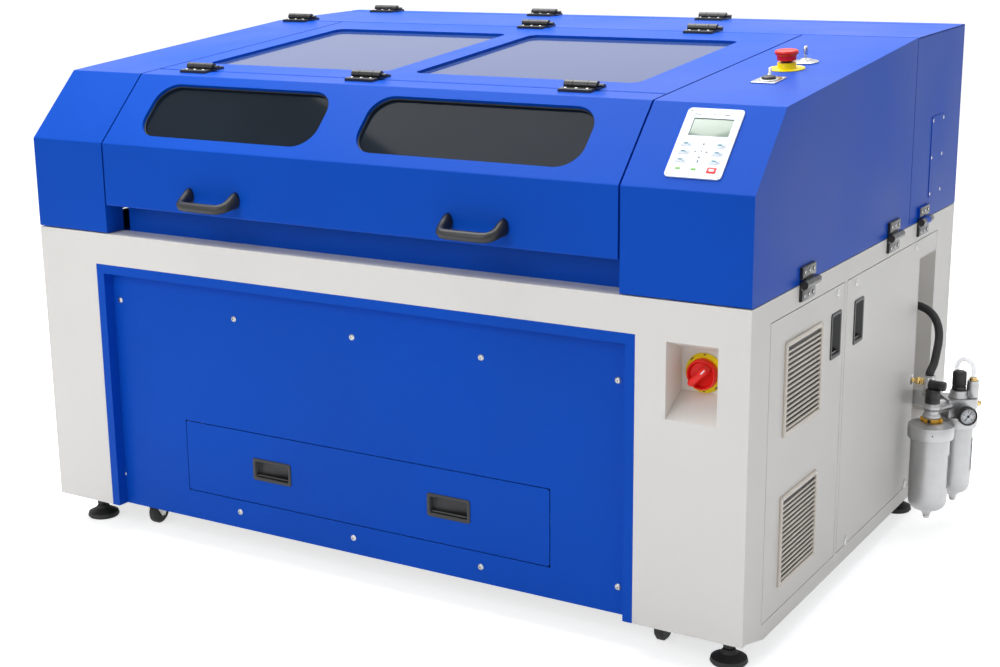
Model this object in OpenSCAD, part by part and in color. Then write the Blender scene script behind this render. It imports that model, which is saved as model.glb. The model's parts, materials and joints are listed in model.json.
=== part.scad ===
// Floor-standing flatbed laser engraver: a sheet-metal cabinet under a hinged hood.
// Millimetres, +Z up, the operator stands on the -Y side.

/* [Cabinet] */
// Width across the side skins
cabinet_w = 1830; // [1600:10:2100]
// Depth from the front skin to the rear skin
cabinet_d = 1340; // [1320:10:1500]
// Height of the lower edge of the front skin
front_edge_z = 75; // [70:1:90]
// Height of the lower edge of the side skins
skirt_z = 50; // [45:1:60]
// Height where the cabinet ends and the hood begins
split_z = 752; // [740:1:800]
// Thickness of every sheet
sheet_t = 2; // [1.5:0.1:2.5]
// Gap left between neighbouring covers and doors
seam = 3; // [2:0.5:4]
// Outside radius of a fold
fold_r = 5; // [3:0.5:8]
// Depth of the return folded along a free edge
return_d = 15; // [10:1:18]

/* [Hood] */
// Height where the upright front turns into the sloping front
chamfer_z = 965; // [940:5:980]
// How far back the sloping front reaches
chamfer_d = 146; // [130:1:160]
// How far up the sloping front reaches
chamfer_h = 148; // [130:1:160]
// Slope of the lids in degrees
lid_slope = 5.4; // [4:0.1:6]
// Slope of the rear cover in degrees
rear_slope = 1.5; // [0.5:0.1:2.5]
// Width of the left cover
left_cover_w = 217; // [180:1:240]
// Width of the right cover
right_cover_w = 274; // [260:1:300]
// Distance of the seam between the front lid and the top lid from the front
seam1_y = 212; // [200:1:230]
// Distance of the seam between the top lid and the rear cover from the front
seam2_y = 957; // [930:1:980]
// Width of the fixed strip behind the rear cover
rear_strip = 50; // [40:1:70]
// Lower edge of the front lid
lid_edge_z = 820; // [810:1:850]

/* [Windows] */
// Distances of the front windows from the left and the right end of the lid
front_pane_side = [81.5, 101.5];
// Edges of the bar between the front windows
front_pane_bar = [-115, -10];
// Distance of the front windows from the upper edge of the slope
pane_drop = 25; // [20:1:30]
// Height of the front windows along the slope
pane_h = 152; // [130:1:155]
// Corner radius of the front windows
pane_r = 55; // [30:1:60]
// Distances of the top windows from the left and the right end of the lid
top_pane_side = [68.5, 108.5];
// Edges of the bar between the top windows
top_pane_bar = [-100, -30];
// Front edge of the top windows
top_pane_y = 300; // [280:1:320]
// Length of the top windows
top_pane_l = 542; // [450:1:560]
// Corner radius of the top windows
top_pane_r = 25; // [15:1:40]
// Depth of the rim round a front window
pane_recess = 11; // [6:1:14]
// Depth of the rim round a top window
top_pane_recess = 7; // [5:1:12]
// Thickness of the acrylic
glass_t = 4; // [3:0.5:6]
// How far the acrylic reaches past its opening
glass_lap = 12; // [8:1:14]

/* [Hinges] */
// Length of a hinge along its pin
hinge_w = 76; // [60:1:80]
// Depth of one leaf from the pin
leaf_d = 35; // [30:1:38]
// Thickness of a leaf
leaf_t = 5; // [4:0.5:6]
// Radius of the knuckles
knuckle_r = 9; // [8:0.5:10]
// Radius of the pin
pin_r = 4; // [3:0.5:5]
// Length of the free end of the pin
pin_tail = 14; // [8:1:18]
// Height of the pin over the sheet
pin_rise = 9.6; // [9.4:0.1:12]
// Distances of the front lid's outer hinges from its ends
row1_in = [126.5, 191.5];
// Place of the front lid's middle hinge
row1_middle = -90; // [-120:1:-60]
// Place of the top lid's left hinge
row2_left = -85; // [-120:1:-60]
// Distance of the top lid's right hinge from its end
row2_in = 254.5; // [200:0.5:300]
// Distance of the left cover's hinge from the side
left_hinge_in = 70; // [60:1:160]
// Distance of the rear cover's left hinge from the side
row3_in = 133; // [100:1:200]
// Places of the rear cover's other hinges
row3_inner = [-247, 263];
// Places of the side hinges of the right cover
side_hinge_y = [282, 833];
// Distance of the flap's side hinge from the seam before it
flap_hinge_in = 103; // [70:1:240]

/* [Lid handles] */
// Places of the two handles
handle_x = [-370, 317];
// Distance between the two feet of a handle
handle_span = 134; // [120:1:160]
// Height of the feet
handle_z = 862; // [850:1:900]
// Length of a leg from the sheet to the middle of the grip
handle_leg = 50; // [45:1:65]
// How far the legs lean down, in degrees
handle_lean = 18; // [0:1:40]
// Diameter of the tube
handle_tube = 22; // [14:1:24]
// Bend radius of the tube
handle_bend = 24; // [18:1:28]

/* [Front] */
// Distances of the opening in the front from the two sides
bay_in = [175, 239];
// Upper edge of the opening in the front
bay_z1 = 678; // [660:1:690]
// Width of the flat rim of the front panel
rim_w = 22; // [18:1:26]
// Depth of the recess of the front panel
bay_d = 28; // [20:1:32]
// Distances of the drawer front from the two sides of the opening
drawer_side = [228, 206];
// Lower edge of the drawer front
drawer_z0 = 146; // [140:1:160]
// Upper edge of the drawer front
drawer_z1 = 316; // [290:1:340]
// Length of the drawer box
drawer_l = 500; // [400:10:560]
// Distances of the pulls' middles from the ends of the drawer front
drawer_pull_in = [252.5, 248.5];
// Middle height of the drawer pulls
drawer_pull_z = 230.5; // [210:0.5:250]

/* [Switch pocket] */
// Distance of the pocket from the right side
pocket_in = 65; // [65:1:75]
// Width of the pocket
pocket_w = 108; // [95:1:110]
// Lower edge of the pocket
pocket_z0 = 516; // [500:1:530]
// Upper edge of the pocket
pocket_z1 = 672; // [665:1:690]
// Depth of the pocket
pocket_d = 75; // [65:1:80]
// Rise of its floor and fall of its ceiling towards the back
pocket_rise = [43, 27];
// Diameter of the yellow plate
isolator_plate_d = 80; // [70:1:84]
// Diameter of the red knob
isolator_knob_d = 62; // [45:1:66]

/* [Side doors] */
// Front and rear edge of the front side door's opening
door1_y = [97, 520];
// Front edge of the rear side door's opening
door2_front = 534; // [530:1:540]
// Distance of the rear side door's opening from the rear
door2_in = 141; // [130:1:150]
// Lower edge of both openings
door_z0 = 85; // [80:1:95]
// Upper edge of both openings
door_z1 = 707; // [690:1:710]
// Distance of the connection pocket's front edge from the rear
niche_in = 278; // [260:1:300]
// Lower edge of the connection pocket
niche_z0 = 240; // [180:5:280]
// Upper edge of the connection pocket
niche_z1 = 660; // [620:1:670]
// Depth of the connection pocket
niche_d = 70; // [60:1:80]
// Thickness of the hinge pins of the front side door
door_pin_r = 2.5; // [2:0.1:3]
// Front edge of the louvre grilles
vent_y = 176; // [150:1:190]
// Lower edges of the two louvre grilles
vent_z = [135, 455];
// Width of a grille
vent_w = 208; // [200:1:240]
// Height of a grille
vent_h = 195; // [150:1:200]
// Pitch of the louvres
louvre_pitch = 10.5; // [9:0.5:15]
// Width of a louvre blade
louvre_w = 5.5; // [4:0.5:8]
// Size of a side door pull
door_pull = [62, 100];
// Size of a drawer pull
drawer_pull = [110, 53];
// Depth of a pull's cup
pull_d = 15; // [10:1:18]

/* [Control panel] */
// Distance of the control panel's left edge from the right side
panel_in = 194; // [175:1:215]
// Width of the control panel
panel_w = 117; // [100:1:125]
// Length of the control panel along the slope
panel_h = 165; // [140:1:170]
// Distance of the control panel from the upper edge of the slope
panel_drop = 15; // [12:1:25]
// Thickness of the control panel
panel_t = 3; // [2:0.5:4]

/* [Top switches] */
// Place of the emergency stop, from the right side and from the front
estop_in = [147, 520];
// Diameter of the emergency stop's head
estop_d = 50; // [40:1:60]
// Diameter of the emergency stop's disc
estop_disc_d = 77; // [70:1:90]
// Travel of the emergency stop
estop_travel = 4; // [3:0.5:5]
// Place of the key switch, from the right side and from the front
key_in = [135, 600];
// Place of the lever switch, from the right side and from the front
lever_in = [133, 385];

/* [Work area] */
// Distance of the tub's front wall behind the front skin
apron_y = 60; // [55:1:70]
// Height of the tub's floor
tub_z = 560; // [540:1:600]
// Top of the front wall of the tub
apron_z1 = 870; // [850:1:880]
// Height of the table's surface when it is up
table_z = 850; // [830:1:860]
// Thickness of the table
table_t = 32; // [25:1:40]
// Pitch of the table's slats
slat_pitch = 40; // [30:1:60]
// Radius of the guide columns
column_r = 8; // [6:1:10]
// Height of the gantry rails
rail_z = 892; // [885:1:900]
// Width of a gantry rail
rail_w = 34; // [30:1:36]
// Height of a gantry rail
rail_h = 30; // [25:1:32]
// Width of the guide bar on a rail
guide_w = 15; // [12:1:20]
// Height of the guide bar on a rail
guide_h = 10; // [8:1:12]
// Rest place of the gantry beam
gantry_y = 880; // [860:1:890]
// Height and depth of the gantry beam
beam_size = [40, 56];
// Rest place of the laser head, from the inside of the tub
head_in = 91.5; // [81:0.5:121]

/* [Chassis] */
// Side of the square tubes
tube_w = 40; // [30:1:45]
// Distances of the front and the rear feet from the sides
foot_in = [60, 39];
// Distances of the front feet from the front and of the rear feet from the rear
foot_from = [80, 240];
// Diameter of a foot
foot_d = 78; // [60:1:90]
// Distance of the castors from the sides
castor_in = 220; // [175:1:315]
// Distance of the castors from the front and from the rear
castor_y = 92; // [85:1:120]
// Diameter of a castor wheel
castor_d = 57; // [50:1:60]
// Tread width of a castor wheel
castor_w = 22; // [18:1:26]
// Trail of a castor
castor_trail = 18; // [12:1:20]
// Air between a castor wheel and the floor while the feet carry the machine
castor_lift = 1; // [0.5:0.5:3]
// Radius of a castor's axle
axle_r = 4; // [3:0.5:5]

// Size of the electronics box
box_size = [270, 330, 340];
// Distances of the electronics box from the right side and from the front
box_in = [85, 130];
// Distances of the laser tube's ends from the two sides
tube_in = [155, 275];
// Distance of the laser tube from the rear
tube_rear = 191.5; // [185:0.5:200]
// Height of the laser tube over the chassis
tube_rise = 100; // [90:1:120]
// Diameter of the laser tube
tube_d = 80; // [60:1:90]
// Distances of the rear cooling slots from the two sides
slot_in = [355, 255];
// Length and height of a cooling slot
slot_size = [180, 8];
// Size of the plate on the rear flap
plate_size = [100, 195];
// Distances of that plate from the rear and from the chassis
plate_from = [240, 48];

/* [Air filters] */
// Place of the large filter, from the side skin and from the front edge of the connection pocket
filter1_from = [77, -97];
// Place of the small filter, from the side skin and from the front edge of the connection pocket
filter2_from = [109, 13];
// Bowl radius of the large filter
bowl1_r = 46; // [42:1:55]
// Bowl radius of the small filter
bowl2_r = 39; // [32:1:42]
// Lower end of the large bowl and of the small bowl
bowl_z0 = [68, 84];
// Upper end of the large bowl and of the small bowl
bowl_z1 = [250, 254];
// Turn of the small filter's ports in degrees
port_turn = 37; // [20:1:50]
// Diameter of the pressure gauge
gauge_d = 46; // [40:1:62]
// Distance of the back of the pressure gauge from the filter axis
gauge_gap = 50; // [48:1:56]
// Thickness of the pressure gauge
gauge_t = 20; // [15:1:24]
// Diameter of the exhaust collars
exhaust_d = 150; // [100:5:160]
// Length of the exhaust collars
exhaust_l = 60; // [40:5:90]
// Places of the exhaust collars
exhaust_x = [-380, 320];
// Height of the exhaust collars over the chassis
exhaust_rise = 148; // [120:1:200]

/* [Hidden] */
$fn = 48;
tiny = 0.01;
fit = 0.06;
slip = 0.4;
big = 3000;

half_w = cabinet_w / 2;
chamfer_a = atan(chamfer_h / chamfer_d);
chamfer_top = chamfer_z + chamfer_h;
lid_x0 = -half_w + left_cover_w + 1.5 * seam;
lid_x1 = half_w - right_cover_w - 1.5 * seam;
cover_z0 = split_z + 2;
seam3_y = cabinet_d - rear_strip;
flap_hinge_y = seam2_y + flap_hinge_in;
front_panes = [[lid_x0 + front_pane_side[0], front_pane_bar[0]], [front_pane_bar[1], lid_x1 - front_pane_side[1]]];
top_panes = [[lid_x0 + top_pane_side[0], top_pane_bar[0]], [top_pane_bar[1], lid_x1 - top_pane_side[1]]];
row1_x = [lid_x0 + row1_in[0], row1_middle, lid_x1 - row1_in[1]];
row2_x = [row2_left, lid_x1 - row2_in];
row3_x = concat([row3_in - half_w], row3_inner);
left_hinge_x = left_hinge_in - half_w;
bay_x0 = bay_in[0] - half_w;
bay_x1 = half_w - bay_in[1];
drawer_x0 = bay_x0 + drawer_side[0];
drawer_x1 = bay_x1 - drawer_side[1];
drawer_pull_x = [drawer_x0 + drawer_pull_in[0], drawer_x1 - drawer_pull_in[1]];
pocket_x1 = half_w - pocket_in;
pocket_x0 = pocket_x1 - pocket_w;
estop_at = [half_w - estop_in[0], estop_in[1]];
key_at = [half_w - key_in[0], key_in[1]];
lever_at = [half_w - lever_in[0], lever_in[1]];
door2_y = [door2_front, cabinet_d - door2_in];
niche_y = cabinet_d - niche_in;
filter1 = [half_w, niche_y] + filter1_from;
filter2 = [half_w, niche_y] + filter2_from;
foot_x = [half_w - foot_in[0], half_w - foot_in[1]];
foot_y = [foot_from[0], cabinet_d - foot_from[1]];
castor_x = half_w - castor_in;
ring1_r = bowl1_r + 8;
ring2_r = bowl2_r + 8;
head1_z = bowl_z1[0] + 30;
head2_z = bowl_z1[1] + 26;
beam_top_z = split_z - sheet_t;
frame_top_z = front_edge_z + tube_w;
deck_z = frame_top_z + sheet_t;
tub_x0 = lid_x0 + 12;
tub_x1 = lid_x1 - 12;
tub_y1 = seam2_y - 12;
head_x = tub_x0 + head_in;
wall_drop = return_d + 5;

// The origin stands on the floor under the middle of the overall box.
reach_x = [-half_w, filter2[0] + (gauge_gap + gauge_t) * sin(port_turn) + gauge_d / 2 * cos(port_turn)];
reach_y = [-handle_leg * cos(handle_lean) - handle_tube / 2, cabinet_d + exhaust_l];
centre = [(reach_x[0] + reach_x[1]) / 2, (reach_y[0] + reach_y[1]) / 2, 0];

function lid_z(y) = chamfer_top + (y - chamfer_d) * tan(lid_slope);
function rear_z(y) = lid_z(seam2_y) + (y - seam2_y) * tan(rear_slope);
function unit(v) = v / norm(v);
function inner_normal(a, b) = let (d = unit(b - a)) [d[1], -d[0]];
function inset_point(p, i, t) = let (last = len(p) - 1)
    i == 0 ? p[0] + t * inner_normal(p[0], p[1])
    : i == last ? p[last] + t * inner_normal(p[last - 1], p[last])
    : let (n1 = inner_normal(p[i - 1], p[i]), n2 = inner_normal(p[i], p[i + 1]))
        p[i] + t * (n1 + n2) / (1 + n1 * n2);
function inset_path(p, t) = [for (i = [0:len(p) - 1]) inset_point(p, i, t)];
function reversed(p) = [for (i = [len(p) - 1:-1:0]) p[i]];
// A corner of a folded sheet, eased by a short curve between its two tangent points.
function fold_curve(a, b, c, r) = let (u = unit(a - b), v = unit(c - b), cut = r / tan(acos(u * v) / 2))
    [for (s = [0:0.25:1]) pow(1 - s, 2) * (b + u * cut) + 2 * s * (1 - s) * b + s * s * (b + v * cut)];
function eased(p, r) = concat([p[0]],
    [for (i = [1:len(p) - 2]) each fold_curve(p[i - 1], p[i], p[i + 1], r)], [p[len(p) - 1]]);

// Paths of the folded skins seen from the side, as [y, z], from front to back.
hood_front = [[0, chamfer_z], [chamfer_d, chamfer_top]];
lid_end_y = seam1_y - seam / 2;
hood_end_y = seam2_y - seam / 2;
front_lid_path = concat([[return_d, lid_edge_z], [0, lid_edge_z]], hood_front,
    [[lid_end_y, lid_z(lid_end_y)], [lid_end_y, lid_z(lid_end_y) - return_d]]);
top_lid_path = let (y0 = seam1_y + seam / 2, y1 = hood_end_y)
    [[y0, lid_z(y0) - return_d], [y0, lid_z(y0)], [y1, lid_z(y1)], [y1, lid_z(y1) - return_d]];
cover_path = concat([[return_d, cover_z0], [0, cover_z0]], hood_front,
    [[hood_end_y, lid_z(hood_end_y)], [hood_end_y, lid_z(hood_end_y) - return_d]]);
rear_cover_path = let (y0 = seam2_y + seam / 2, y1 = seam3_y - seam / 2)
    [[y0, rear_z(y0) - return_d], [y0, rear_z(y0)], [y1, rear_z(y1)], [y1, rear_z(y1) - return_d]];
rear_hood_path = let (y0 = seam3_y + seam / 2)
    [[y0, rear_z(y0) - return_d], [y0, rear_z(y0)], [cabinet_d, rear_z(cabinet_d)], [cabinet_d, cover_z0]];

module placed() { translate(-centre) children(); }

// Draws a side view, given as [y, z], and stretches it from x0 to x1.
module across(x0, x1) {
    translate([x0, 0, 0]) rotate([90, 0, 90]) linear_extrude(x1 - x0) children();
}
module folded_sheet(path, x0, x1) {
    bent = eased(path, fold_r);
    across(x0, x1) polygon(concat(bent, reversed(inset_path(bent, sheet_t))));
}
// The folded edge that stiffens a skin along one side.
module side_return(path, x, depth) {
    across(x, x + sheet_t)
        polygon(concat(inset_path(path, sheet_t / 2), reversed(inset_path(path, depth))));
}
module round_rect(w, h, r) {
    translate([r, 0]) square([w - 2 * r, h]);
    translate([0, r]) square([w, h - 2 * r]);
    for (x = [r, w - r], y = [r, h - r]) translate([x, y]) circle(r);
}
// Local frame on the sloping front: X across, -Y down the slope, Z out of the sheet.
module on_slope() { translate([0, chamfer_d, chamfer_top]) rotate([chamfer_a, 0, 0]) children(); }
// Local frame on the lids' slope at a place given as x and y.
module on_lid(x, y) { translate([x, y, lid_z(y)]) rotate([lid_slope, 0, 0]) children(); }

// One half of a butt hinge. The pin lies along X through the origin and the leaf reaches to +Y.
module hinge_half(with_pin, drop) {
    knuckles = with_pin ? [[-hinge_w / 2, 20], [hinge_w / 2 - 20, 20]] : [[-hinge_w / 2 + 21, hinge_w - 42]];
    difference() {
        union() {
            translate([-hinge_w / 2, knuckle_r + 1, -drop]) cube([hinge_w, leaf_d - knuckle_r - 1, leaf_t]);
            for (k = knuckles) {
                translate([k[0], 0, 0]) rotate([0, 90, 0]) cylinder(r = knuckle_r, h = k[1]);
                translate([k[0], 0, -drop]) cube([k[1], knuckle_r + 2, leaf_t]);
            }
            if (with_pin) translate([-hinge_w / 2, 0, 0]) rotate([0, 90, 0])
                cylinder(r = pin_r, h = hinge_w + pin_tail);
        }
        if (!with_pin) translate([-hinge_w / 2, 0, 0]) rotate([0, 90, 0])
            cylinder(r = pin_r + fit, h = hinge_w);
    }
}
module hood_leaf(x, y, z, slope, with_pin, to_front) {
    translate([x, y, z + pin_rise]) rotate([slope, 0, 0]) mirror([0, to_front ? 1 : 0, 0])
        hinge_half(with_pin, pin_rise * cos(slope));
}
module side_leaf(y, with_pin, down) {
    translate([half_w + pin_rise, y, split_z + 1]) rotate([90, 0, 90]) mirror([0, down ? 1 : 0, 0])
        hinge_half(with_pin, pin_rise);
}

// A flush pull: a flat rim over the sheet and a cup behind it. Its face looks to -Y.
module flush_pull(w, h) {
    rim = 8;
    lip = 2;
    difference() {
        union() {
            translate([0, 0, 0]) rotate([90, 0, 0]) linear_extrude(lip) round_rect(w, h, 6);
            translate([rim - 2, 0, rim - 2]) cube([w - 2 * rim + 4, pull_d, h - 2 * rim + 4]);
        }
        translate([rim, -lip - tiny, rim]) cube([w - 2 * rim, pull_d, h - 2 * rim]);
    }
}
module pull_hole(w, h) {
    translate([5.6, -5, 5.6]) cube([w - 11.2, 10, h - 11.2]);
}

// ---------------------------------------------------------------- cabinet

module front_frame() {
    z0 = pocket_z0 + pocket_rise[0];
    z1 = pocket_z1 - pocket_rise[1];
    pocket_path = [[0, pocket_z0], [pocket_d, z0], [pocket_d, z1], [0, pocket_z1]];
    color("gainsboro") {
        difference() {
            translate([-half_w, 0, front_edge_z]) cube([cabinet_w, sheet_t, split_z - front_edge_z]);
            translate([bay_x0, -1, front_edge_z - 1]) cube([bay_x1 - bay_x0, sheet_t + 2, bay_z1 - front_edge_z + 1]);
            translate([pocket_x0, -1, pocket_z0]) cube([pocket_x1 - pocket_x0, sheet_t + 2, pocket_z1 - pocket_z0]);
        }
        translate([-half_w + sheet_t, sheet_t, split_z - sheet_t])
            cube([cabinet_w - 2 * sheet_t, apron_y - sheet_t, sheet_t]);
        // the pocket of the main switch, folded from one strip between two cheeks
        across(pocket_x0, pocket_x1)
            polygon(concat(pocket_path, inset_path(reversed(pocket_path), -sheet_t)));
        for (x = [pocket_x0 - sheet_t, pocket_x1]) across(x, x + sheet_t)
            polygon([[0, pocket_z0 - sheet_t], [pocket_d + sheet_t, z0 - sheet_t],
                [pocket_d + sheet_t, z1 + sheet_t], [0, pocket_z1 + sheet_t]]);
    }
}
module side_outline() {
    polygon([[sheet_t, front_edge_z], [20, front_edge_z], [110, skirt_z], [cabinet_d - sheet_t, skirt_z],
        [cabinet_d - sheet_t, split_z], [sheet_t, split_z]]);
}
module left_side_panel() {
    color("gainsboro") {
        across(-half_w, -half_w + sheet_t) side_outline();
        translate([-half_w, apron_y, split_z - sheet_t]) cube([return_d + sheet_t, cabinet_d - apron_y - 2 * sheet_t, sheet_t]);
    }
}
catch_y = [597, niche_y - 30];
door_pin_at = [half_w - 5, door1_y[0] + 2 + 4];
module right_side_frame() {
    color("silver") {
        difference() {
            across(half_w - sheet_t, half_w) side_outline();
            translate([half_w - 5, door1_y[0], door_z0]) cube([10, door1_y[1] - door1_y[0], door_z1 - door_z0]);
            translate([half_w - 5, door2_y[0], door_z0]) cube([10, niche_y - door2_y[0], door_z1 - door_z0]);
            translate([half_w - 5, niche_y - 1, niche_z0]) cube([10, door2_y[1] - niche_y + 1, door_z1 - niche_z0]);
        }
        translate([half_w - return_d - sheet_t, apron_y, split_z - sheet_t])
            cube([return_d + sheet_t, cabinet_d - apron_y - 2 * sheet_t, sheet_t]);
        // the mullion's folds
        for (y = [door1_y[1], door2_y[0] - sheet_t]) translate([half_w - return_d, y, door_z0])
            cube([return_d - tiny, sheet_t, door_z1 - door_z0]);
        // lugs that hold the pins of the front side door
        for (z = [door_z0 - 4, door_z1 + 1]) difference() {
            translate([half_w - 18, door1_y[0] - 4, z]) cube([18 - tiny, 20, 3]);
            translate([door_pin_at[0], door_pin_at[1], z - 1]) cylinder(r = door_pin_r + fit, h = 5);
        }
        // catches behind the rear side door, one for each quarter-turn screw
        for (y = catch_y) {
            translate([half_w - return_d - 4, y - 14, door_z1 - 32]) cube([sheet_t, 28, 34 + sheet_t]);
            translate([half_w - return_d - 4, y - 14, door_z1 + 2]) cube([return_d + 4 - tiny, 28, sheet_t]);
            translate([half_w - return_d - 4, y - 14, door_z0 - 4]) cube([sheet_t, 28, 36]);
            translate([half_w - return_d - 4, y - 14, door_z0 - 4]) cube([return_d + 4 - tiny, 28, sheet_t]);
        }
        niche();
    }
}
// The connection pocket, a folded box open to the side.
module niche() {
    y0 = niche_y + 1;
    y1 = door2_y[1];
    difference() {
        translate([half_w - niche_d - sheet_t, y0, niche_z0]) cube([niche_d + sheet_t - tiny, y1 - y0, niche_z1 - 1 - niche_z0]);
        translate([half_w - niche_d, y0 + sheet_t, niche_z0 + sheet_t])
            cube([niche_d + 5, y1 - y0 - 2 * sheet_t, niche_z1 - 1 - niche_z0 - 2 * sheet_t]);
    }
}
module rear_panel() {
    color("gainsboro") difference() {
        translate([-half_w, cabinet_d - sheet_t, skirt_z]) cube([cabinet_w, sheet_t, split_z - skirt_z]);
        // cooling slots of the chassis
        for (x = [slot_in[0] - half_w, half_w - slot_in[1] - slot_size[0]], i = [0:9])
            translate([x, cabinet_d - 5, deck_z + 83 + i * 22]) cube([slot_size[0], 10, slot_size[1]]);
    }
}
module rear_hood() {
    color("royalblue") {
        difference() {
            folded_sheet(rear_hood_path, -half_w, half_w);
            flap_room();
            for (x = exhaust_x) translate([x, cabinet_d - 10, split_z + exhaust_rise]) rotate([-90, 0, 0])
                cylinder(r = exhaust_d / 2 - sheet_t, h = 20);
        }
        across(-half_w, -half_w + sheet_t) polygon([[seam3_y + seam / 2, cover_z0], [cabinet_d - sheet_t, cover_z0],
            [cabinet_d - sheet_t, rear_z(cabinet_d) - sheet_t], [seam3_y + seam / 2, rear_z(seam3_y) - sheet_t]]);
        // exhaust collars
        for (x = exhaust_x) translate([x, cabinet_d - tiny, split_z + exhaust_rise]) rotate([-90, 0, 0]) difference() {
            cylinder(r = exhaust_d / 2, h = exhaust_l + tiny);
            translate([0, 0, -1]) cylinder(r = exhaust_d / 2 - sheet_t, h = exhaust_l + 2);
        }
    }
}
module front_panel() {
    gap = 2;
    color("royalblue") {
        // flat rim along both sides and the top
        difference() {
            translate([bay_x0 + 0.3, 0, front_edge_z]) cube([bay_x1 - bay_x0 - 0.6, sheet_t, bay_z1 - front_edge_z - 0.3]);
            tray_room(0, -1, sheet_t + 2);
        }
        // recessed tray, open at the bottom
        difference() {
            tray_room(sheet_t, 0, bay_d + sheet_t);
            tray_room(0, -1, bay_d + 1);
            translate([-big, -big, front_edge_z - big]) cube([2 * big, 2 * big, big]);
            translate([drawer_x0 - gap, bay_d - 1, drawer_z0 - gap])
                cube([drawer_x1 - drawer_x0 + 2 * gap, sheet_t + 2, drawer_z1 - drawer_z0 + 2 * gap]);
        }
    }
}
module tray_room(grow, y, depth) {
    translate([bay_x0 + rim_w - grow, y, front_edge_z - 20])
        cube([bay_x1 - bay_x0 - 2 * rim_w + 2 * grow, depth, bay_z1 - rim_w - front_edge_z + 20 + grow]);
}
runner_z = (drawer_z0 + drawer_z1) / 2 - 10;
drawer_in = 22;
runner_t = 6;
module base_frame() {
    tube_y0 = bay_d + sheet_t + 4;
    tube_y1 = cabinet_d - sheet_t - 4;
    tube_x = half_w - 20;
    color("dimgray") {
        for (y = [tube_y0, tube_y1 - tube_w]) translate([-tube_x, y, front_edge_z]) cube([2 * tube_x, tube_w, tube_w]);
        for (x = [-tube_x, tube_x - tube_w]) translate([x, tube_y0, front_edge_z]) cube([tube_w, tube_y1 - tube_y0, tube_w]);
        // cross tubes over the castors
        for (y = [castor_y, cabinet_d - castor_y]) translate([-tube_x, y - tube_w / 2, front_edge_z]) cube([2 * tube_x, tube_w, tube_w]);
        // floor pan
        translate([-tube_x, tube_y0, frame_top_z]) cube([2 * tube_x, tube_y1 - tube_y0, sheet_t]);
        // corner posts and top ring
        for (x = [-tube_x, tube_x - tube_w], y = [tube_y0, tube_y1 - tube_w])
            translate([x, y, frame_top_z]) cube([tube_w, tube_w, beam_top_z - frame_top_z]);
        for (y = [sheet_t + 2, tube_y1 - tube_w]) translate([-tube_x, y, beam_top_z - 34]) cube([2 * tube_x, tube_w, 34]);
        for (x = [-tube_x, tub_x0 - tube_w - 2, tub_x1 + 2, tube_x - tube_w])
            translate([x, sheet_t + 2, beam_top_z - 34]) cube([tube_w, tube_y1 - sheet_t - 2, 34]);
        // rear deck under the laser tube
        translate([-tube_x + return_d, tub_y1 + 52, beam_top_z]) cube([2 * tube_x - 2 * return_d, tube_y1 - tub_y1 - 52, sheet_t]);
        // foot plates
        for (k = [0, 1], side = [-1, 1]) translate([side * foot_x[k] - 30, foot_y[k] - 30, front_edge_z - 3]) cube([60, 60, 3]);
        // castor plates with their kingpins
        for (x = [-castor_x, castor_x], y = [castor_y, cabinet_d - castor_y]) translate([x, y, 0]) {
            translate([-32, -32, front_edge_z - 3]) cube([64, 64, 3]);
            translate([0, 0, front_edge_z - 12]) cylinder(r = 5, h = 9.5);
            translate([0, 0, front_edge_z - 14.5]) cylinder(r = 8, h = 2.6);
        }
        // drawer runners on their side plates
        for (side = [0, 1]) {
            x = side == 0 ? drawer_x0 + drawer_in - runner_t - slip : drawer_x1 - drawer_in + runner_t + slip;
            translate([side == 0 ? x - 6 : x, bay_d + 30, runner_z]) cube([6, drawer_l, 30]);
            translate([side == 0 ? x - 9 : x + 6, bay_d + 30, frame_top_z + 1]) cube([3, drawer_l, runner_z + 30 - frame_top_z]);
        }
    }
}
module work_tub() {
    wall = [[apron_y, tub_z], [apron_y, chamfer_z + apron_y * tan(chamfer_a) - wall_drop * 1.5],
        [chamfer_d + 8, chamfer_top - wall_drop], [tub_y1, lid_z(tub_y1) - wall_drop], [tub_y1, tub_z]];
    color("steelblue") difference() {
        union() {
            for (x = [tub_x0, tub_x1 - sheet_t]) across(x, x + sheet_t) polygon(wall);
            translate([tub_x0, apron_y, tub_z]) cube([tub_x1 - tub_x0, tub_y1 - apron_y, sheet_t]);
            translate([tub_x0, apron_y, tub_z]) cube([tub_x1 - tub_x0, sheet_t, apron_z1 - tub_z]);
            translate([tub_x0, tub_y1 - sheet_t, tub_z]) cube([tub_x1 - tub_x0, sheet_t, lid_z(tub_y1) - wall_drop - tub_z]);
            // flanges that rest on the top ring
            for (x = [tub_x0 - 40, tub_x1 - tiny]) translate([x, apron_y + 1, split_z - sheet_t]) cube([40 + tiny, tub_y1 - apron_y, sheet_t]);
        }
        // beam port from the laser tube
        translate([head_x - 20, tub_y1 - 5, rail_z + 46]) cube([40, 10, 40]);
    }
}
module rail_frames() {
    guide_z = rail_z + rail_h;
    color("silver") for (x = [tub_x0 + sheet_t, tub_x1 - sheet_t - rail_w]) {
        difference() {
            translate([x, apron_y + 15, rail_z]) cube([rail_w, tub_y1 - apron_y - 25, rail_h]);
            // slots of the extruded section
            for (s = [-1, rail_w - 4]) translate([x + s, 0, rail_z + rail_h / 2 - 4]) cube([5, big, 8]);
        }
        translate([x + (rail_w - guide_w) / 2, apron_y + 15, guide_z - tiny]) cube([guide_w, tub_y1 - apron_y - 25, guide_h + tiny]);
    }
}
column_at = [for (x = [tub_x0 + 19, tub_x1 - 19], y = [apron_y + 22, tub_y1 - 18]) [x, y]];
module guide_columns() {
    color("silver") for (c = column_at) translate([c[0], c[1], tub_z + sheet_t]) {
        cylinder(r = column_r, h = rail_z - tub_z - sheet_t);
        cylinder(r = column_r + 5, h = 12);
    }
}
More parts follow.
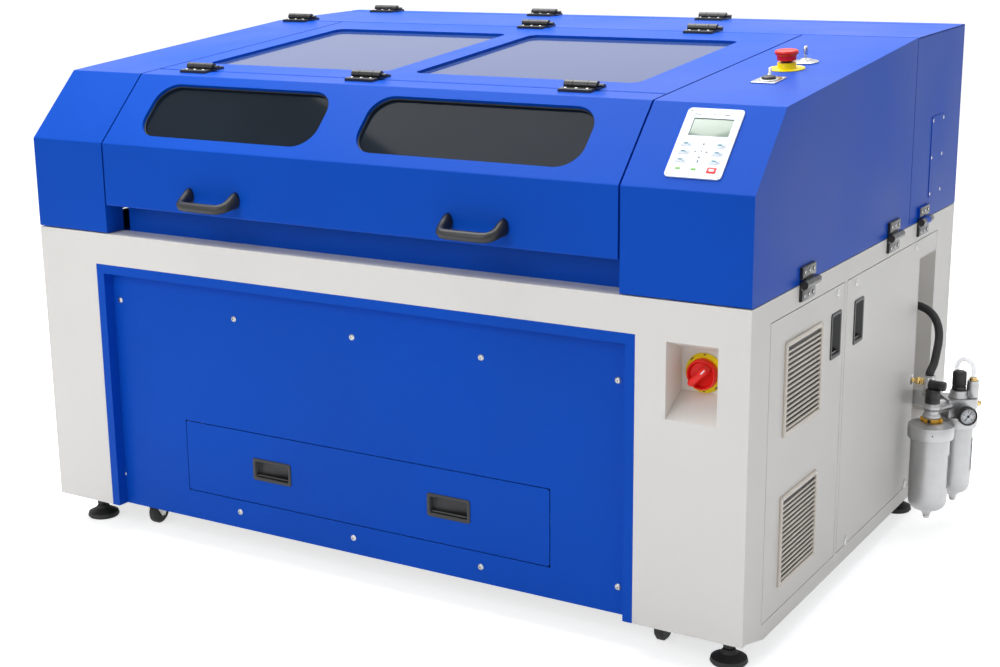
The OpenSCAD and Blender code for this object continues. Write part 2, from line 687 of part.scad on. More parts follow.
module laser_tube() {
    y = cabinet_d - tube_rear;
    z = split_z + tube_rise;
    length = cabinet_w - tube_in[0] - tube_in[1];
    x0 = tube_in[0] - half_w;
    color("whitesmoke") {
        translate([x0, y, z]) rotate([0, 90, 0]) cylinder(r = tube_d / 2, h = length);
        for (x = [x0 - 18, x0 + length - tiny]) translate([x, y, z]) rotate([0, 90, 0]) cylinder(r = 26, h = 18 + tiny);
        for (x = [x0 + 200, x0 + length - 240]) translate([x, y - tube_d / 2 - 5, split_z]) cube([40, tube_d + 10, tube_rise - 20]);
    }
}
module electronics_box() {
    color("lightgray") translate([half_w - box_in[0] - box_size[0], box_in[1], deck_z]) {
        difference() {
            cube(box_size);
            translate([sheet_t, sheet_t, -1]) cube(box_size - [2 * sheet_t, 2 * sheet_t, 1]);
        }
        for (i = [0:5]) translate([box_size[0] - tiny, 40, 60 + i * 40]) cube([6, box_size[1] - 80, 14]);
    }
}
module levelling_feet() {
    color("black") for (k = [0, 1], side = [-1, 1]) translate([side * foot_x[k], foot_y[k], 0]) {
        rotate_extrude() polygon([[0, 0], [foot_d / 2 - 3, 0], [foot_d / 2, 4], [foot_d / 2 - 2, 12], [18, 22], [13, 30], [0, 30]]);
        cylinder(r = 8, h = front_edge_z - 3);
        translate([0, 0, 34]) cylinder(r = 14, h = 10, $fn = 6);
    }
}
module chassis_hinges() {
    color("black") {
        for (x = row3_x) hood_leaf(x, seam3_y, rear_z(seam3_y), rear_slope, true, false);
        for (y = concat(side_hinge_y, [flap_hinge_y])) side_leaf(y, true, true);
    }
}
isolator_at = [(pocket_x0 + pocket_x1) / 2 - 5, (pocket_z0 + pocket_rise[0] + pocket_z1 - pocket_rise[1]) / 2 - 4];
isolator_t = 3;
module facing_front(at, y) { translate([at[0], y, at[1]]) rotate([90, 0, 0]) children(); }
module isolator_plate() {
    color("gold") facing_front(isolator_at, pocket_d) difference() {
        union() {
            cylinder(r = isolator_plate_d / 2, h = isolator_t);
            cylinder(r = isolator_knob_d / 2 + 4, h = isolator_t + 1.5);
        }
        translate([0, 0, 0.5]) cylinder(r = 6 + fit, h = 10);
    }
}
module isolator_knob() {
    color("red") facing_front(isolator_at, pocket_d) {
        translate([0, 0, 1]) cylinder(r = 6, h = 10);
        translate([0, 0, 5]) cylinder(r1 = isolator_knob_d / 2, r2 = isolator_knob_d / 2 - 2, h = 17);
        intersection() {
            translate([-8, -isolator_knob_d / 2, 20]) cube([16, isolator_knob_d, 20]);
            translate([0, 0, 20]) cylinder(r = isolator_knob_d / 2 - 2, h = 20);
        }
    }
}

// ---------------------------------------------------------------- air filters

module bowl(r, z0, z1) {
    difference() {
        rotate_extrude() polygon([[0, z0 - 24], [7, z0 - 24], [9, z0 - 16], [9, z0 - 12], [14, z0 - 6], [14, z0 - 1],
            [r * 0.55, z0], [r * 0.8, z0 + 5], [r * 0.94, z0 + 15], [r, z0 + 30], [r, z1], [0, z1]]);
        // sight slot
        translate([r - 3, -5, z0 + 60]) cube([10, 10, 80]);
    }
}
module filter_bowls() {
    color("silver") {
        translate([filter1[0], filter1[1], 0]) bowl(bowl1_r, bowl_z0[0], bowl_z1[0]);
        translate([filter2[0], filter2[1], 0]) bowl(bowl2_r, bowl_z0[1], bowl_z1[1]);
    }
}
module rod(a, b, r) {
    d = b - a;
    translate(a) rotate([0, acos(d[2] / norm(d)), atan2(d[1], d[0])]) cylinder(r = r, h = norm(d));
}
wing_z = head1_z + 7;
wing_t = 10;
neck1_z = head1_z + 53;
pipe_z = wing_z + wing_t + 12;
port_z = head2_z + 26;
block_z = head2_z + 44;
// The hose union stands beside the large filter's neck.
union_at = [filter1[0] - 18, filter1[1] + 28];
union_z = [pipe_z + 34, pipe_z + 83];
// The relief valve and the stub of the loop stand on the small filter's block.
relief_at = [filter2[0] + 30, filter2[1] + 13];
stub_at = [filter2[0] - 14.8, filter2[1] + 24.9];
function at_z(p, z) = [p[0], p[1], z];
module cylinder_between(r, z0, z1) { translate([0, 0, z0]) cylinder(r = r, h = z1 - z0); }
module filter_heads() {
    color("silver") {
        translate(at_z(filter1, 0)) {
            cylinder_between(ring1_r, bowl_z1[0], head1_z);
            translate([0, 0, head1_z - tiny]) cylinder(r1 = 40, r2 = 28, h = 5);
            cylinder_between(17, head1_z, neck1_z);
        }
        translate(at_z(filter2, 0)) {
            cylinder_between(ring2_r, bowl_z1[1], head2_z);
            rotate([0, 0, port_turn]) {
                translate([-34, -30, head2_z - tiny]) cube([68, 70, block_z - head2_z + tiny]);
                translate([-58, 0, port_z]) rotate([0, 90, 0]) cylinder(r = 14, h = 100);
            }
            cylinder_between(20, block_z - 1, block_z + 18);
            cylinder_between(8, block_z + 17, block_z + 36);
        }
        // cross pipe, hose union and the bar that carries both filters
        rod(at_z(filter1, pipe_z), at_z(filter2, pipe_z), 9);
        rod(at_z(filter1, pipe_z + 2), at_z(union_at, pipe_z + 2), 8);
        translate(at_z(union_at, 0)) {
            cylinder_between(9, pipe_z - 7, union_z[0] + 1);
            cylinder_between(13, union_z[0], union_z[1]);
        }
        translate([half_w - niche_d, filter2[1] + 8, port_z - 18]) cube([filter2[0] - half_w + niche_d - 10, 6, 36]);
        // relief valve
        translate(at_z(relief_at, 0)) cylinder_between(14, block_z - 1, block_z + 43);
        translate([relief_at[0] - 12, relief_at[1] - 14, head2_z + 20]) cube([26, 16, block_z - head2_z - 20]);
    }
}
outlet_z = union_z[1] - 17;
gland_l = 14;
hose_r = 10;
module air_fittings() {
    outlet_x = union_at[0] - 13.1;
    color("goldenrod") {
        // outlet with its flared end
        rod([outlet_x - 28, union_at[1], outlet_z], [outlet_x, union_at[1], outlet_z], 6);
        rod([outlet_x - 31, union_at[1], outlet_z], [outlet_x - 27.9, union_at[1], outlet_z], 13);
        rod([outlet_x - 18, union_at[1], outlet_z], [outlet_x - 9, union_at[1], outlet_z], 9);
        translate(at_z(relief_at, 0)) cylinder_between(10, block_z + 43, block_z + 49);
        translate(at_z(stub_at, 0)) cylinder_between(7, block_z + 0.05, block_z + 17);
        translate(at_z(filter2, port_z)) rotate([0, 0, port_turn]) translate([42, 0, 0]) rotate([0, 90, 0]) {
            cylinder(r = 8, h = 10);
            cylinder(r = 5, h = 16);
        }
    }
    color("black") {
        // lock cap of the large filter
        translate(at_z(filter1, 0)) cylinder_between(17.5, neck1_z, neck1_z + 34);
        rod([filter1[0] - 12, filter1[1], neck1_z + 44], [filter1[0] + 30, filter1[1], neck1_z + 44], 11);
        // gland of the air hose
        translate(hose_route[0]) rotate([0, 90, 0]) difference() {
            cylinder(r = 16, h = gland_l);
            translate([0, 0, -1]) cylinder(r = hose_r + 0.3, h = gland_l + 2);
        }
    }
}
module pressure_gauge() {
    color("black") translate(at_z(filter2, head2_z + 14)) rotate([0, 0, port_turn]) rotate([90, 0, 0]) {
        cylinder_between(7, 30, gauge_gap + 1);
        cylinder_between(gauge_d / 2, gauge_gap, gauge_gap + gauge_t);
    }
}
module regulator_knob() {
    color("black") translate(at_z(filter2, 0)) difference() {
        cylinder_between(17, block_z + 18.4, block_z + 66);
        cylinder_between(8 + fit, block_z + 17, block_z + 36.5);
    }
}
module valve_wing() {
    color("gold") translate(at_z(filter1, wing_z)) difference() {
        union() {
            cylinder(r = 20, h = wing_t);
            translate([-26, -5, 0]) cube([52, 10, wing_t]);
        }
        translate([0, 0, -1]) cylinder(r = 17 + fit, h = 20);
    }
}
hose_z = union_z[1] + 0.3;
hose_route = concat([for (p = [[-niche_d, 50, 532], [-43, 50, 532], [-23, 49, 532], [-4, 46, 530], [15, 41, 524], [32, 33, 513],
    [45, 22, 498], [54, 8, 480], [59, -9, 461], [61, -27, 442], [61, -45, hose_z + 24], [59.6, -60, hose_z + 12]])
        [half_w + p[0], niche_y + p[1], p[2]]],
    [at_z(union_at, hose_z + 5), at_z(union_at, hose_z)]);
relief_z = block_z + 49;
loop_route = concat([[stub_at[0], stub_at[1], block_z + 17.2], [stub_at[0], stub_at[1], relief_z + 16]],
    [for (a = [160:-20:20]) let (m = (stub_at + relief_at) / 2, h = (relief_at - stub_at) / 2)
        [m[0] + h[0] * cos(a), m[1] + h[1] * cos(a), relief_z + 16 + 26 * sin(a)]],
    [[relief_at[0], relief_at[1], relief_z + 16], [relief_at[0], relief_at[1], relief_z + 0.3]]);
// A round hose along a list of points, as one closed tube.
module hose(path, r, sides) {
    last = len(path) - 1;
    function heading(i) = unit(path[min(i + 1, last)] - path[max(i - 1, 0)]);
    function side_way(i) = unit(cross(heading(i), [0.31, 0.2, 0.93]));
    rings = [for (i = [0:last]) let (s = side_way(i), u = cross(s, heading(i)))
        for (k = [0:sides - 1]) path[i] + r * (cos(k * 360 / sides) * s + sin(k * 360 / sides) * u)];
    walls = [for (i = [0:last - 1], k = [0:sides - 1])
        [i * sides + k, i * sides + (k + 1) % sides, (i + 1) * sides + (k + 1) % sides, (i + 1) * sides + k]];
    caps = [[for (k = [sides - 1:-1:0]) k], [for (k = [0:sides - 1]) last * sides + k]];
    polyhedron(rings, concat(walls, caps), convexity = 6);
}
module air_hoses() {
    color("black") hose(hose_route, hose_r, 12);
    color("white") hose(loop_route, 6, 10);
}

// ---------------------------------------------------------------- hood

// The folds over the flap's upper edge stop short of it.
module flap_room() {
    y0 = seam2_y;
    across(half_w - sheet_t - 0.6, half_w + 1) polygon([[y0, cover_z0], [cabinet_d - sheet_t - 0.5, cover_z0],
        [cabinet_d - sheet_t - 0.5, rear_z(cabinet_d) - sheet_t - 0.8], [seam3_y, rear_z(seam3_y) - sheet_t - 0.8],
        [y0, rear_z(y0) - sheet_t - 0.8]]);
}
module rear_cover() {
    y0 = seam2_y + seam / 2;
    y1 = seam3_y - seam / 2;
    color("royalblue") {
        difference() {
            folded_sheet(rear_cover_path, -half_w, half_w);
            flap_room();
        }
        across(-half_w, -half_w + sheet_t)
            polygon([[y0, cover_z0], [y1, cover_z0], [y1, rear_z(y1) - fold_r], [y1 - fold_r, rear_z(y1) - 1],
                [y0 + fold_r, rear_z(y0) - 1], [y0, rear_z(y0) - fold_r]]);
    }
}
module rear_cover_hinges() {
    color("black") {
        for (x = row3_x) hood_leaf(x, seam3_y, rear_z(seam3_y), rear_slope, false, true);
        for (x = concat(row2_x, [left_hinge_x])) hood_leaf(x, seam2_y, lid_z(seam2_y), rear_slope, true, false);
    }
}
module pane_cut(panes, y0, h, r, grow, z0, z1) {
    for (p = panes) translate([p[0] - grow, y0 - grow, z0]) linear_extrude(z1 - z0)
        round_rect(p[1] - p[0] + 2 * grow, h + 2 * grow, r + grow);
}
module pane_rim(panes, y0, h, r, recess) {
    difference() {
        pane_cut(panes, y0, h, r, 2, -recess, -sheet_t / 2);
        pane_cut(panes, y0, h, r, 0, -recess - 1, 1);
    }
}
module top_lid() {
    color("royalblue") {
        difference() {
            union() {
                folded_sheet(top_lid_path, lid_x0, lid_x1);
                side_return([top_lid_path[1], top_lid_path[2]], lid_x0, 22);
                side_return([top_lid_path[1], top_lid_path[2]], lid_x1 - sheet_t, 22);
            }
            on_lid(0, top_pane_y) pane_cut(top_panes, 0, top_pane_l, top_pane_r, 0, -30, 10);
        }
        on_lid(0, top_pane_y) pane_rim(top_panes, 0, top_pane_l, top_pane_r, top_pane_recess);
    }
}
module top_windows() {
    color("lightsteelblue", 0.6) on_lid(0, top_pane_y)
        pane_cut(top_panes, 0, top_pane_l, top_pane_r, glass_lap, -top_pane_recess - glass_t, -top_pane_recess);
}
module top_lid_hinges() {
    color("black") {
        for (x = row2_x) hood_leaf(x, seam2_y, lid_z(seam2_y), lid_slope, false, true);
        for (x = row1_x) hood_leaf(x, seam1_y, lid_z(seam1_y), lid_slope, true, false);
    }
}
module front_lid() {
    outline = [front_lid_path[1], front_lid_path[2], front_lid_path[3], front_lid_path[4]];
    color("royalblue") {
        difference() {
            union() {
                folded_sheet(front_lid_path, lid_x0, lid_x1);
                side_return(outline, lid_x0, 22);
                side_return(outline, lid_x1 - sheet_t, 22);
            }
            on_slope() pane_cut(front_panes, -pane_drop - pane_h, pane_h, pane_r, 0, -30, 10);
        }
        on_slope() pane_rim(front_panes, -pane_drop - pane_h, pane_h, pane_r, pane_recess);
    }
}
module front_windows() {
    color("darkslategray", 0.7) on_slope()
        pane_cut(front_panes, -pane_drop - pane_h, pane_h, pane_r, glass_lap, -pane_recess - glass_t, -pane_recess);
}
module front_lid_hinges() {
    color("black") for (x = row1_x) hood_leaf(x, seam1_y, lid_z(seam1_y), lid_slope, false, true);
}
// A bow of bent tube whose legs lean away from the sheet.
module lid_handles() {
    r = handle_tube / 2;
    leg = handle_leg - handle_bend;
    run = handle_span / 2 - handle_bend;
    color("black") for (x = handle_x) translate([x, 0, handle_z]) {
        difference() {
            rotate([handle_lean, 0, 0]) rotate([90, 0, 0]) for (side = [0, 1]) mirror([side, 0, 0]) {
                translate([handle_span / 2, 0, -20]) cylinder(r = r, h = leg + 20);
                translate([run, 0, leg]) rotate([90, 0, 0]) rotate_extrude(angle = 90) translate([handle_bend, 0]) circle(r);
                translate([-tiny, 0, handle_leg]) rotate([0, 90, 0]) cylinder(r = r, h = run + tiny);
            }
            translate([-200, 0, -200]) cube(400);
        }
        for (s = [-1, 1]) translate([s * handle_span / 2 - r - 1, 0, -19]) rotate([90, 0, 0])
            linear_extrude(8) round_rect(2 * r + 2, 38, r);
    }
}
// The wall that closes a cover beside the recess under the front lid.
module cover_cheek(x) {
    across(x, x + sheet_t) polygon([[1, cover_z0], [apron_y - 3, cover_z0], [apron_y - 3, lid_edge_z + 20], [1, lid_edge_z + 20]]);
}
module left_cover() {
    x0 = -half_w;
    x1 = -half_w + left_cover_w;
    color("royalblue") {
        cover_shell(x0, x1, x0, x1 - sheet_t);
        cover_cheek(x1 - sheet_t);
    }
}
module right_cover() {
    x0 = half_w - right_cover_w;
    color("royalblue") {
        cover_shell(x0, half_w, half_w - sheet_t, x0);
        cover_cheek(x0);
    }
}
module cover_shell(x0, x1, skin_x, return_x) {
    y1 = hood_end_y;
    folded_sheet(cover_path, x0, x1);
    across(skin_x, skin_x + sheet_t) polygon([[1, cover_z0 + 1], [1, chamfer_z - 1], [chamfer_d + 1, chamfer_top - 1],
        [y1 - fold_r, lid_z(y1 - fold_r) - 1], [y1, lid_z(y1) - fold_r], [y1, cover_z0], [fold_r, cover_z0]]);
    side_return([cover_path[1], cover_path[2], cover_path[3], cover_path[4]], return_x, 22);
}
module left_cover_hinge() {
    color("black") hood_leaf(left_hinge_x, seam2_y, lid_z(seam2_y), lid_slope, false, true);
}
module right_cover_hinges() {
    color("black") for (y = side_hinge_y) side_leaf(y, false, false);
}
module right_rear_flap() {
    y0 = seam2_y + seam / 2;
    y1 = cabinet_d - sheet_t - 1;
    drop = sheet_t + 1.5;
    skin = [[y0, cover_z0], [y1, cover_z0], [y1, rear_z(y1) - drop], [y0, rear_z(y0) - drop]];
    color("royalblue") {
        across(half_w - sheet_t, half_w) polygon(skin);
        for (y = [y0 + 1, y1 - sheet_t - 1]) translate([half_w - return_d, y, cover_z0])
            cube([return_d - tiny, sheet_t, 400]);
        // screwed cover plate
        translate([half_w - tiny, cabinet_d - plate_from[0], split_z + plate_from[1]]) rotate([90, 0, 90])
            linear_extrude(1.5) round_rect(plate_size[0], plate_size[1], 4);
    }
    color("black") side_leaf(flap_hinge_y, false, false);
}
module control_panel() {
    lcd = [19, 82, 82, 42];
    color("whitesmoke") on_slope() translate([half_w - panel_in, -panel_drop - panel_h, 0]) difference() {
        linear_extrude(panel_t) round_rect(panel_w, panel_h, 9);
        // display window
        translate([lcd[0], panel_h - lcd[1], panel_t - 1.2]) cube([lcd[2], lcd[3], 5]);
    }
}
collar_h = 14;
module switch_bases() {
    color("gold") on_lid(estop_at[0], estop_at[1]) difference() {
        union() {
            cylinder(r = estop_disc_d / 2, h = 2);
            cylinder(r = 20, h = collar_h);
        }
        translate([0, 0, 0.5]) cylinder(r = 11 + fit, h = 20);
    }
    color("silver") on_lid(key_at[0], key_at[1]) difference() {
        union() {
            cylinder(r = 27.5, h = 3);
            cylinder(r = 12, h = 8);
        }
        translate([0, 0, 0.5]) cylinder(r = 7 + fit, h = 20);
    }
    color("silver") on_lid(lever_at[0], lever_at[1]) difference() {
        translate([-26.5, -34, 0]) linear_extrude(3) round_rect(53, 68, 3);
        translate([0, 0, 0.5]) cylinder(r = 5 + fit, h = 20);
    }
}
module estop_head() {
    r = estop_d / 2;
    color("red") on_lid(estop_at[0], estop_at[1]) {
        cylinder_between(11, estop_travel + 0.8, collar_h + estop_travel + 1);
        translate([0, 0, collar_h + estop_travel + 0.5])
            rotate_extrude() polygon([[0, 0], [r - 5, 0], [r - 3.5, 10], [r, 14], [r, 17], [r - 2, 20], [r * 0.5, 21.5], [0, 22]]);
    }
}
module laser_key() {
    color("silver") on_lid(key_at[0], key_at[1]) {
        cylinder_between(7, 1, 9.5);
        translate([-1.5, -4, 9]) cube([3, 8, 8]);
        translate([-1.5, -10, 16]) cube([3, 20, 20]);
    }
}
module mode_lever() {
    color("black") on_lid(lever_at[0], lever_at[1]) {
        cylinder_between(5, 1, 5);
        cylinder_between(15, 3.4, 11);
        translate([-4, 0, 10.9]) rotate([-25, 0, 0]) cube([8, 6, 16]);
    }
}

// ---------------------------------------------------------------- doors and drawer

door_gap = 2;
module front_side_door() {
    y0 = door1_y[0] + door_gap;
    y1 = door1_y[1] - door_gap;
    z0 = door_z0 + door_gap;
    z1 = door_z1 - door_gap;
    color("silver") {
        difference() {
            translate([half_w - sheet_t, y0, z0]) cube([sheet_t, y1 - y0, z1 - z0]);
            for (z = vent_z) translate([half_w - 5, vent_y + 11, z + 11]) cube([10, vent_w - 22, vent_h - 22]);
            front_pull_frame() pull_hole(door_pull[0], door_pull[1]);
        }
        // folds along the free edge, the top and the bottom
        translate([half_w - return_d, y1 - sheet_t, z0]) cube([return_d - tiny, sheet_t, z1 - z0]);
        for (z = [z0, z1 - sheet_t]) translate([half_w - 8, y0, z]) cube([8 - tiny, y1 - y0, sheet_t]);
        for (z = [z0 - 5.5, z1 - 0.1]) translate([door_pin_at[0], door_pin_at[1], z]) cylinder(r = door_pin_r, h = 5.6);
    }
}
front_pull_y = 440;
rear_pull_y = 586;
pull_z = 551;
module on_side(y, z) { translate([half_w, y, z]) rotate([0, 0, 90]) children(); }
module front_pull_frame() { on_side(front_pull_y, pull_z) children(); }
module rear_pull_frame() { on_side(rear_pull_y, pull_z) children(); }
module front_door_pull() { color("black") front_pull_frame() flush_pull(door_pull[0], door_pull[1]); }
module rear_door_pull() { color("black") rear_pull_frame() flush_pull(door_pull[0], door_pull[1]); }
module front_door_vents() {
    count = floor((vent_h - 24) / louvre_pitch);
    color("linen") for (z = vent_z) translate([half_w, vent_y, z]) {
        difference() {
            rotate([90, 0, 90]) linear_extrude(5) round_rect(vent_w, vent_h, 5);
            translate([-1, 10, 10]) cube([10, vent_w - 20, vent_h - 20]);
        }
        for (i = [0:count - 1]) translate([0.5, 9, 13 + i * louvre_pitch]) cube([3.5, vent_w - 18, louvre_w]);
    }
}
module rear_side_door() {
    y0 = door2_y[0] + door_gap;
    y1 = door2_y[1] - door_gap;
    z0 = door_z0 + door_gap;
    z1 = door_z1 - door_gap;
    notch_y = niche_y - door_gap;
    color("silver") {
        difference() {
            across(half_w - sheet_t, half_w) polygon([[y0, z0], [notch_y, z0], [notch_y, niche_z1], [y1, niche_z1], [y1, z1], [y0, z1]]);
            rear_pull_frame() pull_hole(door_pull[0], door_pull[1]);
        }
        translate([half_w - return_d, y0, z0]) cube([return_d - tiny, sheet_t, z1 - z0]);
        translate([half_w - return_d, notch_y - sheet_t, z0]) cube([return_d - tiny, sheet_t, niche_z1 - z0]);
        translate([half_w - return_d, y0, z1 - sheet_t]) cube([return_d - tiny, y1 - y0, sheet_t]);
        // quarter-turn screws
        for (y = catch_y, z = [z0 + 15, z1 - 15]) translate([half_w + 1.5, y, z]) rotate([0, -90, 0]) {
            cylinder(r = 6, h = 2);
            cylinder(r = 3, h = return_d + 3.2);
        }
    }
}
module drawer() {
    y0 = bay_d;
    box_x0 = drawer_x0 + drawer_in;
    box_x1 = drawer_x1 - drawer_in;
    box_z0 = drawer_z0 + 12;
    box_h = drawer_z1 - drawer_z0 - 30;
    color("royalblue") {
        difference() {
            translate([drawer_x0, y0 + sheet_t, drawer_z0]) rotate([90, 0, 0])
                linear_extrude(sheet_t) round_rect(drawer_x1 - drawer_x0, drawer_z1 - drawer_z0, 6);
            drawer_pull_frames() pull_hole(drawer_pull[0], drawer_pull[1]);
        }
        // the box stands behind the cups of the pulls
        difference() {
            translate([box_x0, y0 + sheet_t - tiny, box_z0]) cube([box_x1 - box_x0, drawer_l, box_h]);
            translate([box_x0 + sheet_t, y0 + pull_d + 6, box_z0 + sheet_t])
                cube([box_x1 - box_x0 - 2 * sheet_t, drawer_l - pull_d - 6 - 2 * sheet_t, box_h]);
            translate([box_x0 + sheet_t, y0 + sheet_t - 1, box_z0 + sheet_t])
                cube([box_x1 - box_x0 - 2 * sheet_t, pull_d + 3, box_h]);
        }
        // runner bars
        for (x = [box_x0 - runner_t, box_x1 - tiny]) translate([x, y0 + 32, runner_z + 3]) cube([runner_t + tiny, drawer_l - 32, 24]);
    }
}
module drawer_pull_frames() {
    for (x = drawer_pull_x) translate([x - drawer_pull[0] / 2, bay_d, drawer_pull_z - drawer_pull[1] / 2]) children();
}
module drawer_pulls() { color("black") drawer_pull_frames() flush_pull(drawer_pull[0], drawer_pull[1]); }

// ---------------------------------------------------------------- motion system

beam_z = rail_z + rail_h + guide_h + 12;
module gantry_beam() {
    color("lightgray") {
        difference() {
            translate([tub_x0 + 8, gantry_y - beam_size[0] / 2, beam_z]) cube([tub_x1 - tub_x0 - 16, beam_size[0], beam_size[1]]);
            for (z = [beam_z + 10, beam_z + beam_size[1] - 18]) translate([-big, gantry_y - beam_size[0] / 2 - 1, z]) cube([2 * big, 6, 8]);
        }
        // trucks that ride on the guide bars
        for (x = [tub_x0 + sheet_t + rail_w / 2, tub_x1 - sheet_t - rail_w / 2]) difference() {
            translate([x - 14, gantry_y - 35, rail_z + rail_h + 1]) cube([28, 70, beam_z - rail_z - rail_h]);
            translate([x - guide_w / 2 - 0.3, gantry_y - 50, rail_z]) cube([guide_w + 0.6, 100, rail_h + guide_h + 0.3]);
        }
    }
}
module laser_carriage() {
    y1 = gantry_y - beam_size[0] / 2 - slip;
    color("black") {
        translate([head_x - 40, y1 - 40, beam_z - 4]) cube([80, 40, beam_size[1] + 10]);
        translate([head_x - 40, y1 - 1, beam_z + beam_size[1] + slip]) cube([80, beam_size[0] + 2, 5.6]);
        translate([head_x, y1 - 22, table_z + 30]) cylinder(r = 14, h = beam_z - table_z - 30);
        translate([head_x, y1 - 22, table_z + 8]) cylinder(r1 = 4, r2 = 14, h = 22 + tiny);
    }
}
module lift_table() {
    x0 = tub_x0 + 36;
    x1 = tub_x1 - 36;
    y0 = apron_y + 40;
    y1 = tub_y1 - 36;
    rim = 20;
    z0 = table_z - table_t;
    count = floor((y1 - y0 - 2 * rim) / slat_pitch);
    color("slategray") {
        difference() {
            translate([x0, y0, z0]) cube([x1 - x0, y1 - y0, table_t]);
            translate([x0 + rim, y0 + rim, z0 - 1]) cube([x1 - x0 - 2 * rim, y1 - y0 - 2 * rim, table_t + 2]);
        }
        for (i = [1:count - 1]) translate([x0 + rim - tiny, y0 + rim + i * slat_pitch, z0]) cube([x1 - x0 - 2 * rim + 2 * tiny, 4, table_t]);
        // corner arms with the bushes of the guide columns
        for (c = column_at) {
            toward = [c[0] < 0 ? x0 + 15 : x1 - 15, c[1] < 500 ? y0 + 15 : y1 - 15];
            difference() {
                union() {
                    translate([c[0], c[1], z0]) cylinder(r = column_r + 6, h = table_t);
                    translate([min(c[0], toward[0]), min(c[1], toward[1]) , z0])
                        cube([abs(c[0] - toward[0]), abs(c[1] - toward[1]), 10]);
                }
                translate([c[0], c[1], z0 - 1]) cylinder(r = column_r + fit, h = table_t + 2);
            }
        }
    }
}

// ---------------------------------------------------------------- castors

wheel_z = castor_d / 2 + castor_lift;
module castor_frame(sx, rear) {
    translate([sx * castor_x, rear ? cabinet_d - castor_y : castor_y, 0]) children();
}
module castor_fork(sx, rear) {
    hub_z = front_edge_z - 11.2;
    color("silver") castor_frame(sx, rear) {
        difference() {
            translate([0, 0, hub_z]) cylinder(r = 20, h = 7.8);
            translate([0, 0, hub_z - 1]) cylinder(r = 5 + fit, h = 12);
        }
        for (s = [-1, 1]) translate([s * (castor_w / 2 + 3.5) - 1.5, 0, 0]) rotate([90, 0, 90]) linear_extrude(3)
            polygon([[-16, hub_z + 4], [16, hub_z + 4], [castor_trail + 9, wheel_z], [castor_trail + 5, wheel_z - 8],
                [castor_trail - 5, wheel_z - 8], [castor_trail - 10, wheel_z]]);
        translate([-castor_w / 2 - 5, castor_trail, wheel_z]) rotate([0, 90, 0]) cylinder(r = axle_r, h = castor_w + 10);
    }
}
module castor_wheel(sx, rear) {
    color("black") castor_frame(sx, rear) translate([0, castor_trail, wheel_z]) rotate([0, 90, 0]) difference() {
        rotate_extrude() polygon([[0, -castor_w / 2], [castor_d / 2 - 5, -castor_w / 2], [castor_d / 2, -castor_w / 2 + 5],
            [castor_d / 2, castor_w / 2 - 5], [castor_d / 2 - 5, castor_w / 2], [0, castor_w / 2]]);
        translate([0, 0, -50]) cylinder(r = axle_r + fit, h = 100);
    }
}

placed() {
    front_frame();
    left_side_panel();
    right_side_frame();
    rear_panel();
    rear_hood();
    front_panel();
    base_frame();
    work_tub();
    rail_frames();
    guide_columns();
    laser_tube();
    electronics_box();
    levelling_feet();
    chassis_hinges();
    isolator_plate();
    filter_heads();
    filter_bowls();
    air_fittings();
    air_hoses();
    pressure_gauge();
    regulator_knob();
    valve_wing();
    isolator_knob();
    rear_cover();
    rear_cover_hinges();
    top_lid();
    top_windows();
    top_lid_hinges();
    front_lid();
    front_windows();
    lid_handles();
    front_lid_hinges();
    left_cover();
    left_cover_hinge();
    right_cover();
    control_panel();
    right_cover_hinges();
    switch_bases();
    estop_head();
    laser_key();
    mode_lever();
    right_rear_flap();
    front_side_door();
    front_door_vents();
    front_door_pull();
    rear_side_door();
    rear_door_pull();
    drawer();
    drawer_pulls();
    gantry_beam();
    laser_carriage();
    lift_table();
    castor_fork(-1, false);  // castor_fork_fl
    castor_fork(1, false);  // castor_fork_fr
    castor_fork(-1, true);  // castor_fork_rl
    castor_fork(1, true);  // castor_fork_rr
    castor_wheel(-1, false);  // castor_wheel_fl
    castor_wheel(1, false);  // castor_wheel_fr
    castor_wheel(-1, true);  // castor_wheel_rl
    castor_wheel(1, true);  // castor_wheel_rr
}
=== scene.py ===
# %% [markdown]
# # A flatbed laser engraver, dressed for the camera
#
# The CAD model gives every sheet, lid and hinge its true size. This script keeps that model as a fixed frame and adds what CAD
# leaves out: paint, glass, screw heads, key legends and knurled knobs. Each cell below makes one group of parts. The cell before
# it says why it is made that way.

# %% [markdown]
# ## The fixed frame
#
# Every node keeps its place, and every new piece rides on a body by name.

# %%
import json
import math

import bmesh
import bpy
from mathutils import Matrix, Vector


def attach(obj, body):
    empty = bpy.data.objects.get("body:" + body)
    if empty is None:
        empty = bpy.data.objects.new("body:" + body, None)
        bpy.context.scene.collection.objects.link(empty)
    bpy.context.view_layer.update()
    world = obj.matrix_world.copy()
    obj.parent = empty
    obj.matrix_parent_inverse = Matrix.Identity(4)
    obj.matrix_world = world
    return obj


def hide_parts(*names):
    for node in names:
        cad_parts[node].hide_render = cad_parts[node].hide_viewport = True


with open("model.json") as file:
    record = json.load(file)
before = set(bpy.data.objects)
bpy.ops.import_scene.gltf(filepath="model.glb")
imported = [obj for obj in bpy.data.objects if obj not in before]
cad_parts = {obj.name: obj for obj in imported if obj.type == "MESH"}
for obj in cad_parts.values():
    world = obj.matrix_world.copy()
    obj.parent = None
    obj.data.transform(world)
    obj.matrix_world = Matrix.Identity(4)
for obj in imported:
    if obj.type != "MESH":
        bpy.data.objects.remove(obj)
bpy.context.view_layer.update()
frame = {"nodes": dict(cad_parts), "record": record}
nodes = frame["nodes"]

# %% [markdown]
# ## Places on the machine
#
# Drawings of sheet metal are made in millimetres from the middle of the front skin at floor level, so the places here are too.
# `spot` turns such a place and three directions into a matrix that also scales millimetres to metres. A part is then drawn flat
# on a table, with Z out of the sheet, and the matrix carries it to the front, the side, the lids or the slope of the hood.

